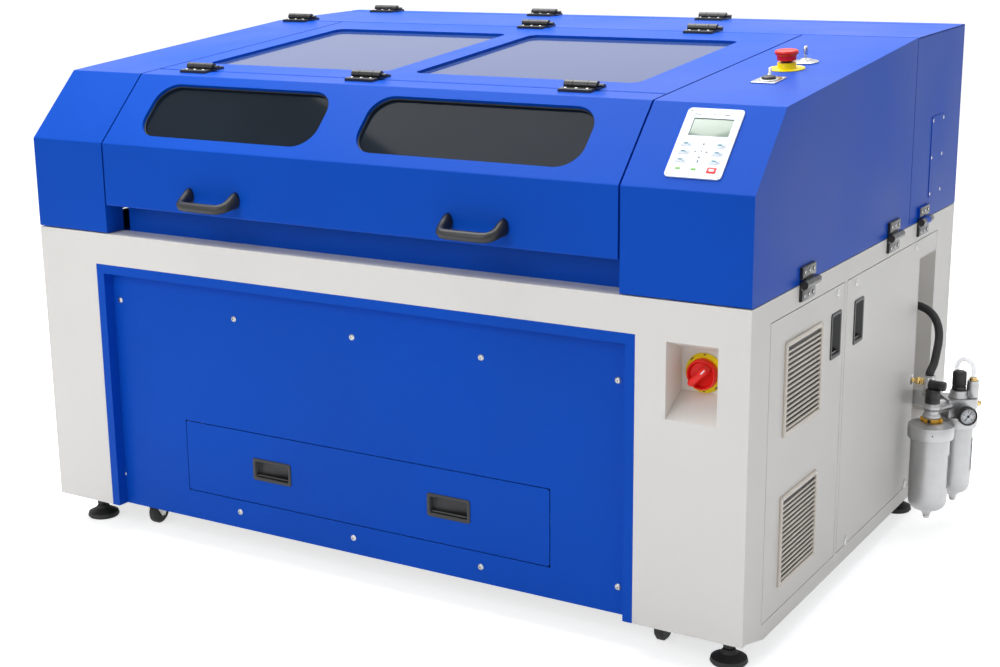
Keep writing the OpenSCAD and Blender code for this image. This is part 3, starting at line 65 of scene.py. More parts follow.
# %%
CENTRE = Vector((84.7478, 670.7236, 0.0))
CHAMFER = math.atan2(148, 146)
LID = math.radians(5.4)


def lid_z(y):
    return 1113 + (y - 146) * math.tan(LID)


def spot(x, y, z, right, up):
    right, up = Vector(right).normalized(), Vector(up).normalized()
    out = right.cross(up)
    turn = Matrix((right, up, out)).transposed().to_4x4()
    return Matrix.Scale(0.001, 4) @ Matrix.Translation(Vector((x, y, z)) - CENTRE) @ turn


def on_front(x, z, y=0.0):
    return spot(x, y, z, (1, 0, 0), (0, 0, 1))


def on_side(y, z, x=915.0):
    return spot(x, y, z, (0, 1, 0), (0, 0, 1))


def on_lid(x, y):
    return spot(x, y, lid_z(y), (1, 0, 0), (0, math.cos(LID), math.sin(LID)))


def on_slope(x, v):
    """v runs down the slope from its top fold."""
    c, s = math.cos(CHAMFER), math.sin(CHAMFER)
    return spot(x, 146 - v * c, 1113 - v * s, (1, 0, 0), (0, c, s))


def upright(x, y, z=0.0, turn=0.0):
    a = math.radians(turn)
    return spot(x, y, z, (math.cos(a), math.sin(a), 0), (-math.sin(a), math.cos(a), 0))


# %% [markdown]
# ## Materials
#
# One recipe serves nearly every finish. A broad noise shifts the colour and the roughness a little, as hands and dust do. A fine
# noise gives the grain of a powder coat or a moulding through a bump. `stretch` pulls that grain out along one axis, which makes
# brushed metal. All of it is measured in metres on the object, so the grain has the same size on a lid and on a screw.

# %%
def finish_material(name, colour, rough, metal=0.0, vary=0.06, broad=2.5, grain=900.0, bump=0.12, depth=0.0002,
                    stretch=(1, 1, 1), coat=0.0, coat_rough=0.12, alpha=1.0, clear=0.0, smudge=0.06, specular=0.5):
    material = bpy.data.materials.new(name)
    material.use_nodes = True
    tree = material.node_tree
    node = lambda kind: tree.nodes.new("ShaderNode" + kind)
    link = tree.links.new
    shader = tree.nodes["Principled BSDF"]
    where = node("TexCoord")
    shape = node("Mapping")
    shape.inputs["Scale"].default_value = stretch
    link(where.outputs["Object"], shape.inputs["Vector"])

    wide, fine = node("TexNoise"), node("TexNoise")
    wide.inputs["Scale"].default_value = broad
    wide.inputs["Detail"].default_value = 4
    fine.inputs["Scale"].default_value = grain
    fine.inputs["Detail"].default_value = 2
    link(where.outputs["Object"], wide.inputs["Vector"])
    link(shape.outputs["Vector"], fine.inputs["Vector"])

    def spread(source, low, high):
        map_range = node("MapRange")
        map_range.inputs["From Min"].default_value = 0.3
        map_range.inputs["From Max"].default_value = 0.7
        map_range.inputs["To Min"].default_value = low
        map_range.inputs["To Max"].default_value = high
        link(source.outputs["Fac"], map_range.inputs["Value"])
        return map_range.outputs["Result"]

    tone = node("Mix")
    tone.data_type = "RGBA"
    tone.inputs["A"].default_value = (*[c * (1 - vary) for c in colour], 1)
    tone.inputs["B"].default_value = (*[min(1, c * (1 + vary)) for c in colour], 1)
    link(spread(wide, 0, 1), tone.inputs["Factor"])
    link(tone.outputs["Result"], shader.inputs["Base Color"])
    link(spread(wide, max(0.02, rough - smudge), min(1, rough + smudge)), shader.inputs["Roughness"])
    relief = node("Bump")
    relief.inputs["Strength"].default_value = bump
    relief.inputs["Distance"].default_value = depth
    link(fine.outputs["Fac"], relief.inputs["Height"])
    link(relief.outputs["Normal"], shader.inputs["Normal"])
    for key, value in {"Metallic": metal, "Coat Weight": coat, "Coat Roughness": coat_rough, "Alpha": alpha,
                       "Transmission Weight": clear, "Specular IOR Level": specular}.items():
        shader.inputs[key].default_value = value
    material.diffuse_color = (*colour, alpha)
    return material


def srgb(r, g, b):
    return tuple(((c / 255 + 0.055) / 1.055) ** 2.4 if c > 10 else c / 255 / 12.92 for c in (r, g, b))


M = {
    "blue": finish_material("blue_powder_coat", (0.003, 0.076, 0.51), 0.38, vary=0.05, grain=700, bump=0.08, specular=0.075),
    "white": finish_material("white_powder_coat", srgb(232, 229, 224), 0.45, vary=0.012, grain=1100, bump=0.14, specular=0.3),
    "cream": finish_material("cream_enamel", srgb(226, 216, 204), 0.4, vary=0.02, grain=900, bump=0.1),
    "black_metal": finish_material("black_satin_metal", (0.012, 0.012, 0.013), 0.34, metal=0.2, vary=0.3, grain=1400, bump=0.2,
                                   coat=0.3),
    "frame": finish_material("grey_primer", srgb(120, 124, 128), 0.55, vary=0.08, grain=800, bump=0.2),
    "steel": finish_material("ground_steel", (0.62, 0.62, 0.63), 0.26, metal=1.0, vary=0.08, grain=1500, bump=0.1,
                             stretch=(0.15, 1, 1)),
    "zinc": finish_material("bright_zinc", (0.58, 0.58, 0.55), 0.38, metal=1.0, vary=0.18, broad=60, grain=900, bump=0.15),
    "aluminium": finish_material("anodised_aluminium", (0.66, 0.67, 0.69), 0.36, metal=1.0, vary=0.05, grain=1800, bump=0.08,
                                 stretch=(0.05, 1, 1)),
    "cast": finish_material("cast_silver", (0.50, 0.50, 0.505), 0.36, metal=0.85, vary=0.07, broad=25, grain=2400, bump=0.3),
    "brass": finish_material("turned_brass", (0.78, 0.55, 0.20), 0.28, metal=1.0, vary=0.12, broad=70, grain=1600, bump=0.1),
    "black": finish_material("black_moulding", (0.010, 0.010, 0.011), 0.42, vary=0.25, grain=2600, bump=0.22),
    "yellow": finish_material("yellow_moulding", srgb(255, 226, 4), 0.34, vary=0.03, grain=1500, bump=0.08, specular=0.25),
    "red": finish_material("red_moulding", srgb(236, 22, 12), 0.3, vary=0.05, grain=1500, bump=0.06, specular=0.4),
    "membrane": finish_material("silver_membrane", srgb(196, 204, 220), 0.36, metal=0.15, vary=0.02, grain=2600, bump=0.12),
    "rubber": finish_material("black_rubber", (0.014, 0.014, 0.014), 0.62, vary=0.25, broad=30, grain=1800, bump=0.35),
    "lcd": finish_material("display_green", srgb(134, 154, 136), 0.18, vary=0.05, broad=20, grain=900, bump=0.02, coat=0.6),
    "label": finish_material("white_print", srgb(246, 247, 250), 0.35, vary=0.01),
    "mark": finish_material("grey_print", srgb(70, 92, 108), 0.4, vary=0.05),
    "mark_teal": finish_material("teal_print", srgb(40, 118, 134), 0.4, vary=0.05),
    "key_grey": finish_material("grey_key", srgb(206, 214, 228), 0.32, vary=0.02),
    "key_green": finish_material("green_print", srgb(96, 176, 52), 0.4, vary=0.08),
    "amber": finish_material("amber_moulding", srgb(238, 176, 10), 0.28, vary=0.05, coat=0.4),
    "clear": finish_material("clear_tube", (0.9, 0.92, 0.95), 0.12, vary=0.02, alpha=0.42, specular=0.8),
    "tube": finish_material("white_housing", srgb(232, 232, 228), 0.35, vary=0.03, grain=900, bump=0.08),
    "dark_glass": finish_material("smoked_glass", (0.008, 0.014, 0.022), 0.06, vary=0.2, grain=30, bump=0.01, alpha=0.9,
                                  smudge=0.02, specular=0.07),
    "blue_glass": finish_material("blue_tinted_glass", srgb(62, 84, 140), 0.08, vary=0.05, grain=30, bump=0.01, alpha=0.88,
                                  smudge=0.02, specular=0.2),
}

# %% [markdown]
# ## The CAD nodes take their finish
#
# The record names a material slot for every node. This table turns a slot into a finish. A node whose shape is right needs
# nothing more.

# %%
SLOTS = {"blue_paint": "blue", "white_paint": "white", "cream_paint": "cream", "black_metal": "black_metal",
         "frame_steel": "frame", "steel": "steel", "zinc": "zinc", "aluminium": "aluminium", "cast_silver": "cast",
         "brass": "brass", "black_plastic": "black", "yellow_plastic": "yellow", "red_plastic": "red",
         "panel_silver": "membrane", "black_rubber": "rubber", "dark_glass": "dark_glass", "blue_glass": "blue_glass",
         "tube_white": "tube"}
for part in frame["record"]["subparts"]:
    mesh = nodes[part["node"]].data
    mesh.materials.clear()
    mesh.materials.append(M[SLOTS[part["material_slot"]]])

# %% [markdown]
# ## Tools for small parts
#
# Most small parts are stacks of closed loops with a skin between them. A knob is a stack of circles, a flush pull is a stack of
# rounded rectangles, and a hose is a row of circles along a line. `Piece` gathers such shapes into one mesh with sharp edges
# only where the surface really turns.

# %%
def circle(r, z, n=32, ribs=0, depth=0.0):
    wave = lambda a: r - depth * (0.5 + 0.5 * math.cos(a * ribs)) if ribs else r
    return [(wave(a) * math.cos(a), wave(a) * math.sin(a), z) for a in (2 * math.pi * k / n for k in range(n))]


def rounded(w, h, r, z, x=0.0, y=0.0, steps=5):
    r = max(0.05, min(r, w / 2 - 0.01, h / 2 - 0.01))
    points = []
    for quarter, (sx, sy) in enumerate(((1, 1), (-1, 1), (-1, -1), (1, -1))):
        for k in range(steps + 1):
            a = math.pi / 2 * (quarter + k / steps)
            points.append((x + sx * (w / 2 - r) + r * math.cos(a), y + sy * (h / 2 - r) + r * math.sin(a), z))
    return points


class Piece:
    def __init__(self, name, body, slot):
        self.name, self.body, self.slot = name, body, slot
        self.bm, self.finishes = bmesh.new(), []

    def colour(self, faces, finish):
        if finish not in self.finishes:
            self.finishes.append(finish)
        for face in faces:
            face.material_index = self.finishes.index(finish)
            face.smooth = True

    def skin(self, at, loops, finish, first=True, last=True):
        """A skin over loops of points that all have the same length."""
        rings = [[self.bm.verts.new(at @ Vector(p)) for p in loop] for loop in loops]
        faces = []
        for a, b in zip(rings, rings[1:]):
            n = len(a)
            faces += [self.bm.faces.new((a[k], a[(k + 1) % n], b[(k + 1) % n], b[k])) for k in range(n)]
        if first:
            faces.append(self.bm.faces.new(rings[0][::-1]))
        if last:
            faces.append(self.bm.faces.new(rings[-1]))
        self.colour(faces, finish)
        return self

    def lathe(self, at, profile, finish, n=32, **extra):
        return self.skin(at, [circle(r, z, n, **extra) for r, z in profile], finish)

    def pad(self, at, w, h, r, z0, z1, finish, soft=0.6, x=0.0, y=0.0):
        """A plate with a rounded outline and a softened upper edge."""
        soft = min(soft, (z1 - z0) / 2, w / 3, h / 3)
        return self.skin(at, [rounded(w, h, r, z0, x, y), rounded(w, h, r, z1 - soft, x, y),
                              rounded(w - soft * 0.6, h - soft * 0.6, r - soft * 0.3, z1 - soft * 0.3, x, y),
                              rounded(w - soft * 2, h - soft * 2, r - soft, z1, x, y)], finish)

    def hose(self, path, radius, finish, n=16, hollow=0.0):
        points = [Vector(p) for p in path]
        side, loops = None, []
        for i, p in enumerate(points):
            ahead = (points[min(i + 1, len(points) - 1)] - points[max(i - 1, 0)]).normalized()
            side = ahead.orthogonal().normalized() if side is None else (side - ahead * side.dot(ahead)).normalized()
            other = ahead.cross(side)
            loops.append([tuple(p + radius * (math.cos(a) * side + math.sin(a) * other))
                          for a in (2 * math.pi * k / n for k in range(n))])
        return self.skin(WORLD, loops, finish)

    def screw(self, at, r, finish, h=None, slot=True):
        """A pan head with a cross recess. The recess is a black cross standing on the head: painted shade."""
        h = h or r * 0.55
        self.lathe(at, [(r * 1.35, 0), (r * 1.35, h * 0.25), (r, h * 0.3), (r, h * 0.55), (r * 0.8, h * 0.9), (r * 0.45, h)],
                   finish, n=18)
        if slot:
            # The black cross is painted shade for the dark of the recess, not a dark part.
            for turn in (0.4, 0.4 + math.pi / 2):
                spin = at @ Matrix.Rotation(turn, 4, "Z")
                self.pad(spin, r * 1.1, r * 0.26, 0.1, h * 0.7, h + 0.06, "black", soft=0.05)
        return self

    def done(self, *replaced):
        for edge in self.bm.edges:
            if len(edge.link_faces) == 2 and edge.calc_face_angle(0) > math.radians(38):
                edge.smooth = False
        bmesh.ops.recalc_face_normals(self.bm, faces=self.bm.faces)
        mesh = bpy.data.meshes.new(self.name)
        self.bm.to_mesh(mesh)
        self.bm.free()
        for finish in self.finishes:
            mesh.materials.append(M[finish])
        piece = bpy.data.objects.new(self.name, mesh)
        bpy.context.scene.collection.objects.link(piece)
        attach(piece, self.body)
        if replaced:
            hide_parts(*replaced)
        return piece


WORLD = Matrix.Scale(0.001, 4) @ Matrix.Translation(-CENTRE)

# %% [markdown]
# ## Hinges
#
# Each butt hinge has two leaves with three countersunk screws and a barrel in between. The leaves belong to different lids, so
# the screws of each leaf ride with its own lid. The moulded blocks beside the knuckles hide the folded leaf ends.

# %%
ROW1, ROW2, ROW3, LEFT_HINGE = (-567, -90, 445), (-85, 382), (-782, -247, 263), -845
SLOPE = {1: LID, 2: LID, 3: math.radians(1.5)}


def seam_z(row):
    return lid_z({1: 212, 2: 957}[row]) if row < 3 else lid_z(957) + (1290 - 957) * math.tan(SLOPE[3])


def hinge_spot(x, row, slope):
    """Beside the barrel, with Y up the slope and Z out of the sheet."""
    y = {1: 212, 2: 957, 3: 1290}[row]
    c, s = math.cos(slope), math.sin(slope)
    return spot(x, y, seam_z(row), (1, 0, 0), (0, c, s))


def leaf_dress(piece, at, side):
    """side is +1 where the leaf reaches to +Y and -1 where it reaches to -Y."""
    piece.pad(at, 74, 22, 3, 4.9, 6.6, "black_metal", soft=0.8, y=side * 23)
    for dx in (-25, 0, 25):
        place = at @ Matrix.Translation((dx, side * 24, 6.2))
        piece.lathe(place, [(5.2, 0), (5.2, 0.7), (4.4, 1.0)], "black", n=20)
        piece.screw(place @ Matrix.Translation((0, 0, 0.3)), 3.2, "steel", h=1.6)


leaves = {"rear_hood_cover": Piece("rear_cover_leaves", "rear_hood_cover", "black_metal"),
          "top_hood_lid": Piece("top_lid_leaves", "top_hood_lid", "black_metal"),
          "front_hood_lid": Piece("front_lid_leaves", "front_hood_lid", "black_metal"),
          "left_hood_cover": Piece("left_cover_leaf", "left_hood_cover", "black_metal"),
          "cabinet": Piece("cabinet_leaves", "cabinet", "black_metal"),
          "right_hood_cover": Piece("right_cover_leaves", "right_hood_cover", "black_metal"),
          "rear_flap": Piece("rear_flap_leaf", "rear_flap", "black_metal")}
for x in ROW1:
    leaf_dress(leaves["front_hood_lid"], hinge_spot(x, 1, LID), -1)
    leaf_dress(leaves["top_hood_lid"], hinge_spot(x, 1, LID), 1)
for x in ROW2:
    leaf_dress(leaves["top_hood_lid"], hinge_spot(x, 2, LID), -1)
for x in (*ROW2, LEFT_HINGE):
    leaf_dress(leaves["rear_hood_cover"], hinge_spot(x, 2, SLOPE[3]), 1)
leaf_dress(leaves["left_hood_cover"], hinge_spot(LEFT_HINGE, 2, LID), -1)
for x in ROW3:
    leaf_dress(leaves["rear_hood_cover"], hinge_spot(x, 3, SLOPE[3]), -1)
    leaf_dress(leaves["cabinet"], hinge_spot(x, 3, SLOPE[3]), 1)
for y, upper in ((282, "right_hood_cover"), (833, "right_hood_cover"), (1060, "rear_flap")):
    seat = spot(915, y, 753, (0, 1, 0), (0, 0, 1))
    leaf_dress(leaves[upper], seat, 1)
    leaf_dress(leaves["cabinet"], seat, -1)
for piece in leaves.values():
    piece.done()

# %% [markdown]
# ## Lid handles
#
# A bridge handle is fatter at its feet than at its grip, so its legs are a stack of ovals that shrink and turn towards the grip.
# One row of loops runs from the left foot round both bends to the right foot.

# %%
def handle(name, x, z):
    piece = Piece(name, "front_hood_lid", "black_metal")
    loops, reach, drop = [], 47.0, 15.5
    stations = []
    for side in (-1, 1):
        leg = [(side * 66, 0.3, 0, 18.6, 11.6), (side * 66, 4, 1, 18.2, 11.4), (side * 65, 16, 5, 14.5, 11.0),
               (side * 63.5, 28, 9.5, 12.0, 10.8), (side * 59, 38.5, 12.8, 11.0, 10.8), (side * 51, 45.2, 15.0, 10.8, 10.9),
               (side * 40, reach, drop, 10.8, 11.0)]
        stations += leg if side < 0 else [(0, reach, drop, 10.9, 11.0)] + leg[::-1]
    points = [Vector((x + s[0], -s[1], z - s[2])) for s in stations]
    for i, (point, s) in enumerate(zip(points, stations)):
        ahead = (points[min(i + 1, len(points) - 1)] - points[max(i - 1, 0)]).normalized()
        if i in (0, len(points) - 1):
            ahead = Vector((0, -1, 0)) if i == 0 else Vector((0, 1, 0))
        tall = (Vector((0, 0, 1)) - ahead * ahead.z).normalized()
        wide = ahead.cross(tall)
        loops.append([tuple(point + s[3] * math.cos(a) * tall + s[4] * math.sin(a) * wide)
                      for a in (2 * math.pi * k / 28 for k in range(28))])
    piece.skin(WORLD, loops, "black")
    return piece.done("lid_handles")


handle("left_lid_handle", -370, 862)
handle("right_lid_handle", 317, 862)

# %% [markdown]
# ## Flush pulls
#
# Each pull is one moulding: a softened rim that laps over the sheet, a step, and a deep cup with a finger lip along its top. The
# stack of rounded rectangles goes up over the rim and down into the cup.

# %%
def flush_pull(name, body, at, w, h, node, lip_side=None):
    piece = Piece(name, body, "black_plastic")
    piece.skin(at, [rounded(w - 12, h - 12, 4, -14.9), rounded(w - 12, h - 12, 4, 0.05), rounded(w, h, 6, 0.05),
                    rounded(w, h, 6, 1.3), rounded(w - 1.2, h - 1.2, 5.6, 2.0), rounded(w - 13, h - 13, 4.5, 2.0),
                    rounded(w - 16, h - 16, 4, 0.8), rounded(w - 17, h - 17, 3.5, -12.5), rounded(w - 20, h - 20, 3, -13.4)],
               "black")
    piece.pad(at, w - 20, 4, 1.5, -9.0, -1.5, "black_metal", soft=1.4, y=-h / 2 + 12)
    return piece.done(node)


for name, x in (("left_drawer_pull", -259.5), ("right_drawer_pull", 221.5)):
    flush_pull(name, "tool_drawer", on_front(x, 230.5, 28), 110, 53, "drawer_pulls")
flush_pull("front_door_flush_pull", "front_door", on_side(471, 601), 62, 100, "front_door_pull")
flush_pull("rear_door_flush_pull", "rear_door", on_side(617, 601), 62, 100, "rear_door_pull")

# %% [markdown]
# ## Screws and catches
#
# The front panel is held by pan-head screws, the side doors by quarter-turn catches, and the grilles by a screw in each corner.

# %%
panel_screws = Piece("front_panel_screws", "cabinet", "steel")
for x, z in ((-697, 588), (-351, 582), (-21, 580), (308, 577), (626, 572), (-723, 149), (630, 134), (-360, 115), (-34, 113),
             (301, 111)):
    panel_screws.screw(on_front(x, z, 28), 5.2, "zinc")
panel_screws.done()


def quarter_turn(piece, y, z, x=915.0):
    at = on_side(y, z, x)
    piece.lathe(at, [(8.0, 0), (8.0, 0.8), (6.6, 1.9), (3.2, 2.3)], "zinc", n=28)
    # The black bar across the head is painted shade for the dark of the slot.
    piece.pad(at @ Matrix.Rotation(0.6, 4, "Z"), 9.5, 1.7, 0.4, 1.6, 2.45, "black", soft=0.1)


catches = Piece("front_door_catch", "front_door", "steel")
quarter_turn(catches, 478, 690)
catches.done()
catches = Piece("rear_door_catches", "rear_door", "steel")
for y, z in ((597, 690), (1032, 692), (597, 92), (1032, 92)):
    quarter_turn(catches, y, z)
catches.done()
vent_screws = Piece("grille_screws", "front_door", "steel")
for z in (135, 455):
    for y in (176 + 6, 176 + 208 - 6):
        for dz in (6, 195 - 6):
            vent_screws.screw(on_side(y, z + dz, 920), 2.6, "zinc", h=1.0)
vent_screws.done()
flap_screws = Piece("flap_plate_screws", "rear_flap", "steel")
for y in (1108, 1192):
    for z in (810, 897, 985):
        flap_screws.screw(on_side(y, z, 916.5), 3.0, "steel", h=1.2)
flap_screws.done()

# %% [markdown]
# ## Control panel
#
# The keypad is one silver plate with a sunk display, raised keys and an arrow field. The marks on the keys are plain shapes. The
# places are measured from the plate's upper left corner.

# %%
keypad = Piece("keypad", "right_hood_cover", "panel_silver")


def key(u, v, w, h, z0, z1, finish, r=1.5, soft=0.3, turn=0.0):
    keypad.pad(on_slope(721 + u, 15 + v) @ Matrix.Rotation(turn, 4, "Z"), w, h, r, z0, z1, finish, soft=soft)


LCD = (60, 45.5, 82, 42)
plate_at = on_slope(721 + 58.5, 15 + 82.5)
window = lambda grow, z: rounded(LCD[2] + grow, LCD[3] + grow, 1.2, z, LCD[0] - 58.5, 82.5 - LCD[1])
keypad.skin(plate_at, [rounded(117, 165, 9, 0.05), rounded(117, 165, 9, 2.4), rounded(116, 164, 8.6, 3.0)], "membrane",
            last=False)
top = [keypad.bm.verts.new(plate_at @ Vector(p)) for p in rounded(116, 164, 8.6, 3.0)]
hole = [keypad.bm.verts.new(plate_at @ Vector(p)) for p in window(0, 3.0)]
keypad.colour([keypad.bm.faces.new((top[k], top[(k + 1) % 24], hole[(k + 1) % 24], hole[k])) for k in range(24)], "membrane")
keypad.skin(plate_at, [window(0, 3.0), window(-1.0, 1.8)], "black", first=False, last=False)
keypad.pad(plate_at, LCD[2] - 1, LCD[3] - 1, 1, 0.8, 1.85, "lcd", soft=0.02, x=LCD[0] - 58.5, y=82.5 - LCD[1])
key(58, 16, 88, 9, 2.9, 3.15, "label", r=2)
key(58, 15, 36, 12, 2.9, 3.2, "label", r=3)
for u, w in ((24, 14), (58, 5), (84, 9)):
    key(u, 15.5, w, 2.2, 3.1, 3.28, "mark", r=0.8, soft=0.05)
for row, v in enumerate((86.5, 105, 124.5)):
    for u in (23.5, 92.5):
        key(u, v, 22, 13, 2.9, 3.35, "key_grey", r=3)
        key(u - 2, v - 1, 9, 3.2, 3.3, 3.5, "mark_teal", r=1, soft=0.05)
        key(u + 5, v + 1.5, 4, 1.6, 3.3, 3.5, "mark_teal", r=0.6, soft=0.05)
key(58.3, 104, 24, 24, 2.9, 3.4, "label", r=4, turn=math.pi / 4)
for u, v, w, h in ((58.3, 86, 3.2, 4.2), (47, 104, 4.6, 3), (69.6, 104, 4.6, 3), (58.3, 117, 3.2, 4), (58.3, 95, 4.5, 2),
                   (58.3, 102, 3.6, 3.6)):
    key(u, v, w, h, 3.3, 3.55, "mark", r=1, soft=0.05)
for u in (43, 58.4, 73):
    key(u, 126, 12, 11, 2.9, 3.35, "label", r=1.5)
key(58.4, 126, 3, 7, 3.3, 3.5, "mark", r=0.6, soft=0.05)
for u, finish, face in ((24, "key_green", "label"), (56, "key_green", "label"), (92.5, "red", "key_grey")):
    key(u, 145, 19, 13.5, 2.9, 3.5, face if finish == "key_green" else "red", r=2.5)
    key(u, 145, 10, 5, 3.45, 3.65, finish if finish == "key_green" else "label", r=1.2, soft=0.05)
for u in (40, 74):
    key(u, 145, 12, 11, 2.9, 3.3, "label", r=1.5)
for u, v in ((7.5, 6.5), (109.5, 6.5), (7.5, 158.5), (109.5, 158.5)):
    keypad.screw(on_slope(721 + u, 15 + v) @ Matrix.Translation((0, 0, 3.0)), 1.9, "steel", h=0.8)
keypad.done("control_panel")

# %% [markdown]
# ## Emergency stop, key switch and lever switch
#
# The three switches stand on the right-hand cover. Their plates are one piece, and each moving head rides on its own body.

# %%
plates = Piece("switch_plates", "right_hood_cover", "yellow_plastic")
seat = on_lid(768, 520)
plates.lathe(seat, [(38.5, 0.05), (38.5, 1.4), (37.9, 2.0), (21.5, 2.2), (20.6, 3.0), (20, 4.5), (20, 13.2), (19.4, 14.0),
                    (12, 14.0), (11.6, 6)], "yellow", n=64)
seat = on_lid(780, 600)
plates.lathe(seat, [(27.5, 0.05), (27.5, 2.2), (26.6, 3.0), (15.5, 3.0), (15, 3.6), (14.2, 5.4), (12, 5.8), (12, 7.5),
                    (11.4, 8.0), (7.4, 8.0)], "steel", n=48)
seat = on_lid(782, 385)
plates.pad(seat, 53, 68, 3, 0.05, 3.0, "steel", soft=0.8)
plates.lathe(seat, [(19.5, 2.9), (19.5, 3.8), (18.5, 4.3)], "zinc", n=40)
for dx in (-21, 21):
    for dy in (-28, 28):
        plates.screw(seat @ Matrix.Translation((dx, dy, 2.9)), 2.2, "zinc", h=1.0)
plates.done("switch_bases")

stop = Piece("stop_button", "emergency_stop", "red_plastic")
stop.lathe(on_lid(768, 520), [(11.2, 4.9), (11.2, 18.7)], "black", n=48)
stop.lathe(on_lid(768, 520), [(18.8, 18.6), (20.2, 19.2), (20.6, 22), (21.2, 28), (22.6, 30.6),
                              (24.6, 32.0), (25.0, 33.4), (25.0, 36.0), (24.2, 38.2), (22.4, 39.6), (20, 40.2), (16, 39.4),
                              (9, 38.7), (0.5, 38.5)], "red", n=64)
stop.done("estop_head")

blade = Piece("switch_key", "key_switch", "steel")
seat = on_lid(780, 600)
blade.lathe(seat, [(6.9, 1.1), (6.9, 8.8), (6.2, 9.5)], "zinc", n=32)
flat = seat @ Matrix.Rotation(math.pi / 2, 4, "X") @ Matrix.Rotation(math.pi / 2, 4, "Y")
blade.pad(flat, 8, 9, 0.6, -1.2, 1.2, "steel", soft=0.4, y=13)
blade.pad(flat, 19, 19.6, 6, -1.5, 1.5, "steel", soft=0.6, y=26)
blade.lathe(flat @ Matrix.Translation((0, 29, 0)), [(2.6, -1.7), (2.6, 1.7)], "black", n=20)
blade.done("laser_key")

lever = Piece("toggle", "lever_switch", "steel")
seat = on_lid(782, 385)
lever.lathe(seat, [(15, 3.4), (15, 6.5), (14, 8.6), (11, 10.4), (6, 11.0), (0.5, 11.0)], "black", n=40)
tilt = seat @ Matrix.Translation((0, 2, 9.5)) @ Matrix.Rotation(math.radians(-25), 4, "X")
lever.lathe(tilt, [(4.6, 0), (4.2, 2), (3.2, 4), (3.4, 10), (4.2, 14), (4.0, 16), (2.6, 17.2), (0.4, 17.5)], "steel", n=28)
lever.done("mode_lever")

# %% [markdown]
# ## Main switch
#
# The knob is a shallow red dish with a raised bar across it. The black marks on the yellow plate show the two stops of the
# switch.

# %%
plate = Piece("main_switch_plate", "cabinet", "yellow_plastic")
seat = on_front(791, 598, 75)
plate.lathe(seat, [(40, 0.05), (40, 2.3), (39.2, 3.0), (35.5, 3.0), (34.8, 4.3), (34.2, 4.5), (7, 4.5), (6.6, 1)], "yellow", n=72)
for turn, w in ((135, 9), (90, 5), (0, 6), (-45, 9), (-90, 4)):
    a = math.radians(turn)
    mark = seat @ Matrix.Translation((37.3 * math.cos(a), 37.3 * math.sin(a), 2.9)) @ Matrix.Rotation(a - math.pi / 2, 4, "Z")
    plate.pad(mark, w, 2.2, 0.5, 0, 0.35, "black", soft=0.05)
plate.done("isolator_plate")

knob = Piece("main_switch_knob", "isolator", "red_plastic")
knob.lathe(seat, [(5.8, 1.2), (5.8, 5), (30.6, 5.0), (31, 6), (30.6, 19.5), (29.6, 21.6), (28, 22), (26.2, 21), (25, 16.5),
                  (23, 15), (0.5, 15)], "red", n=72)
bar = seat @ Matrix.Rotation(math.radians(45), 4, "Z")
knob.skin(bar, [rounded(56, 17, 8, 14.5), rounded(55, 16, 7.6, 30), rounded(53, 14, 7, 36), rounded(50, 11.5, 5.6, 38.6),
                rounded(46, 8, 4, 39.6)], "red")
knob.pad(bar, 12, 2.4, 1, 39.4, 39.95, "label", soft=0.1, x=17)
knob.done("isolator_knob")

# %% [markdown]
# ## Air filters
#
# Two cast heads carry silver bowls with a dark sight slot and a drain. The rings, caps and knobs are turned parts, so each one is
# a stack of circles. The castings between them keep their CAD shape.

# %%
def filter_bowl(piece, x, y, r, z0, z1):
    at = upright(x, y)
    piece.lathe(at, [(5, z0 - 24), (6.6, z0 - 23.4), (7, z0 - 17), (9, z0 - 15.6), (9, z0 - 12), (12.6, z0 - 8), (14, z0 - 5),
                     (14, z0 - 1), (r * 0.56, z0), (r * 0.74, z0 + 3.4), (r * 0.87, z0 + 8.6), (r * 0.955, z0 + 16),
                     (r * 0.99, z0 + 25), (r, z0 + 34), (r, z1 - 3), (r - 1, z1)], "cast", n=64)
    piece.lathe(at, [(8, z0 - 22), (8, z0 - 18)], "zinc", n=6)
    slot = spot(x + r - 0.9, y, z0 + 100, (0, 1, 0), (0, 0, 1))
    piece.pad(slot, 14, 92, 7, -1, 1.3, "cast", soft=0.6)
    piece.pad(slot, 9.4, 84, 4.6, 1.2, 1.6, "black", soft=0.1)


bowls = Piece("filter_bowls_turned", "cabinet", "cast_silver")
filter_bowl(bowls, 992, 965, 46, 68, 250)
filter_bowl(bowls, 1024, 1075, 39, 84, 254)
bowls.done("filter_bowls")

heads = Piece("filter_collars", "cabinet", "cast_silver")
at = upright(992, 965)
heads.lathe(at, [(47, 250.2), (54.4, 250.4), (54.6, 252), (54.6, 277), (53.4, 279.6), (50, 280.6), (41, 281.4), (33, 285.4),
                 (24, 286.6), (17.3, 286.8)], "cast", n=72)
heads.lathe(at, [(17.4, 297.6), (22, 298), (22, 303), (20.4, 305.6), (17.6, 306), (17.6, 318), (20.6, 319), (20.6, 326),
                 (18.6, 328), (17.2, 328.4), (17.2, 332.8)], "cast", n=48)
mark_at = spot(992 + 54.7 * math.sin(0.35), 965 - 54.7 * math.cos(0.35), 266, (math.cos(0.35), math.sin(0.35), 0), (0, 0, 1))
heads.pad(mark_at, 3.2, 3.2, 0.2, -0.4, 0.25, "black", soft=0.05)
at = upright(1024, 1075)
heads.lathe(at, [(40, 254.2), (47.4, 254.4), (47.6, 256), (47.6, 277.4), (46.4, 280), (42, 280.8), (30, 281)], "cast", n=72)
heads.lathe(at, [(24, 324.2), (24, 327), (22, 329.6), (20.6, 333), (20.6, 340), (19, 342.2), (9, 342.3)], "cast", n=48)
at = upright(974, 993)
heads.lathe(at, [(15.4, 343), (15.4, 353), (13.2, 354)], "zinc", n=6)
heads.lathe(at, [(13.1, 354), (13.6, 358), (13.6, 386), (12, 391.8), (10.2, 392.2)], "steel", n=40)
at = upright(1054, 1088)
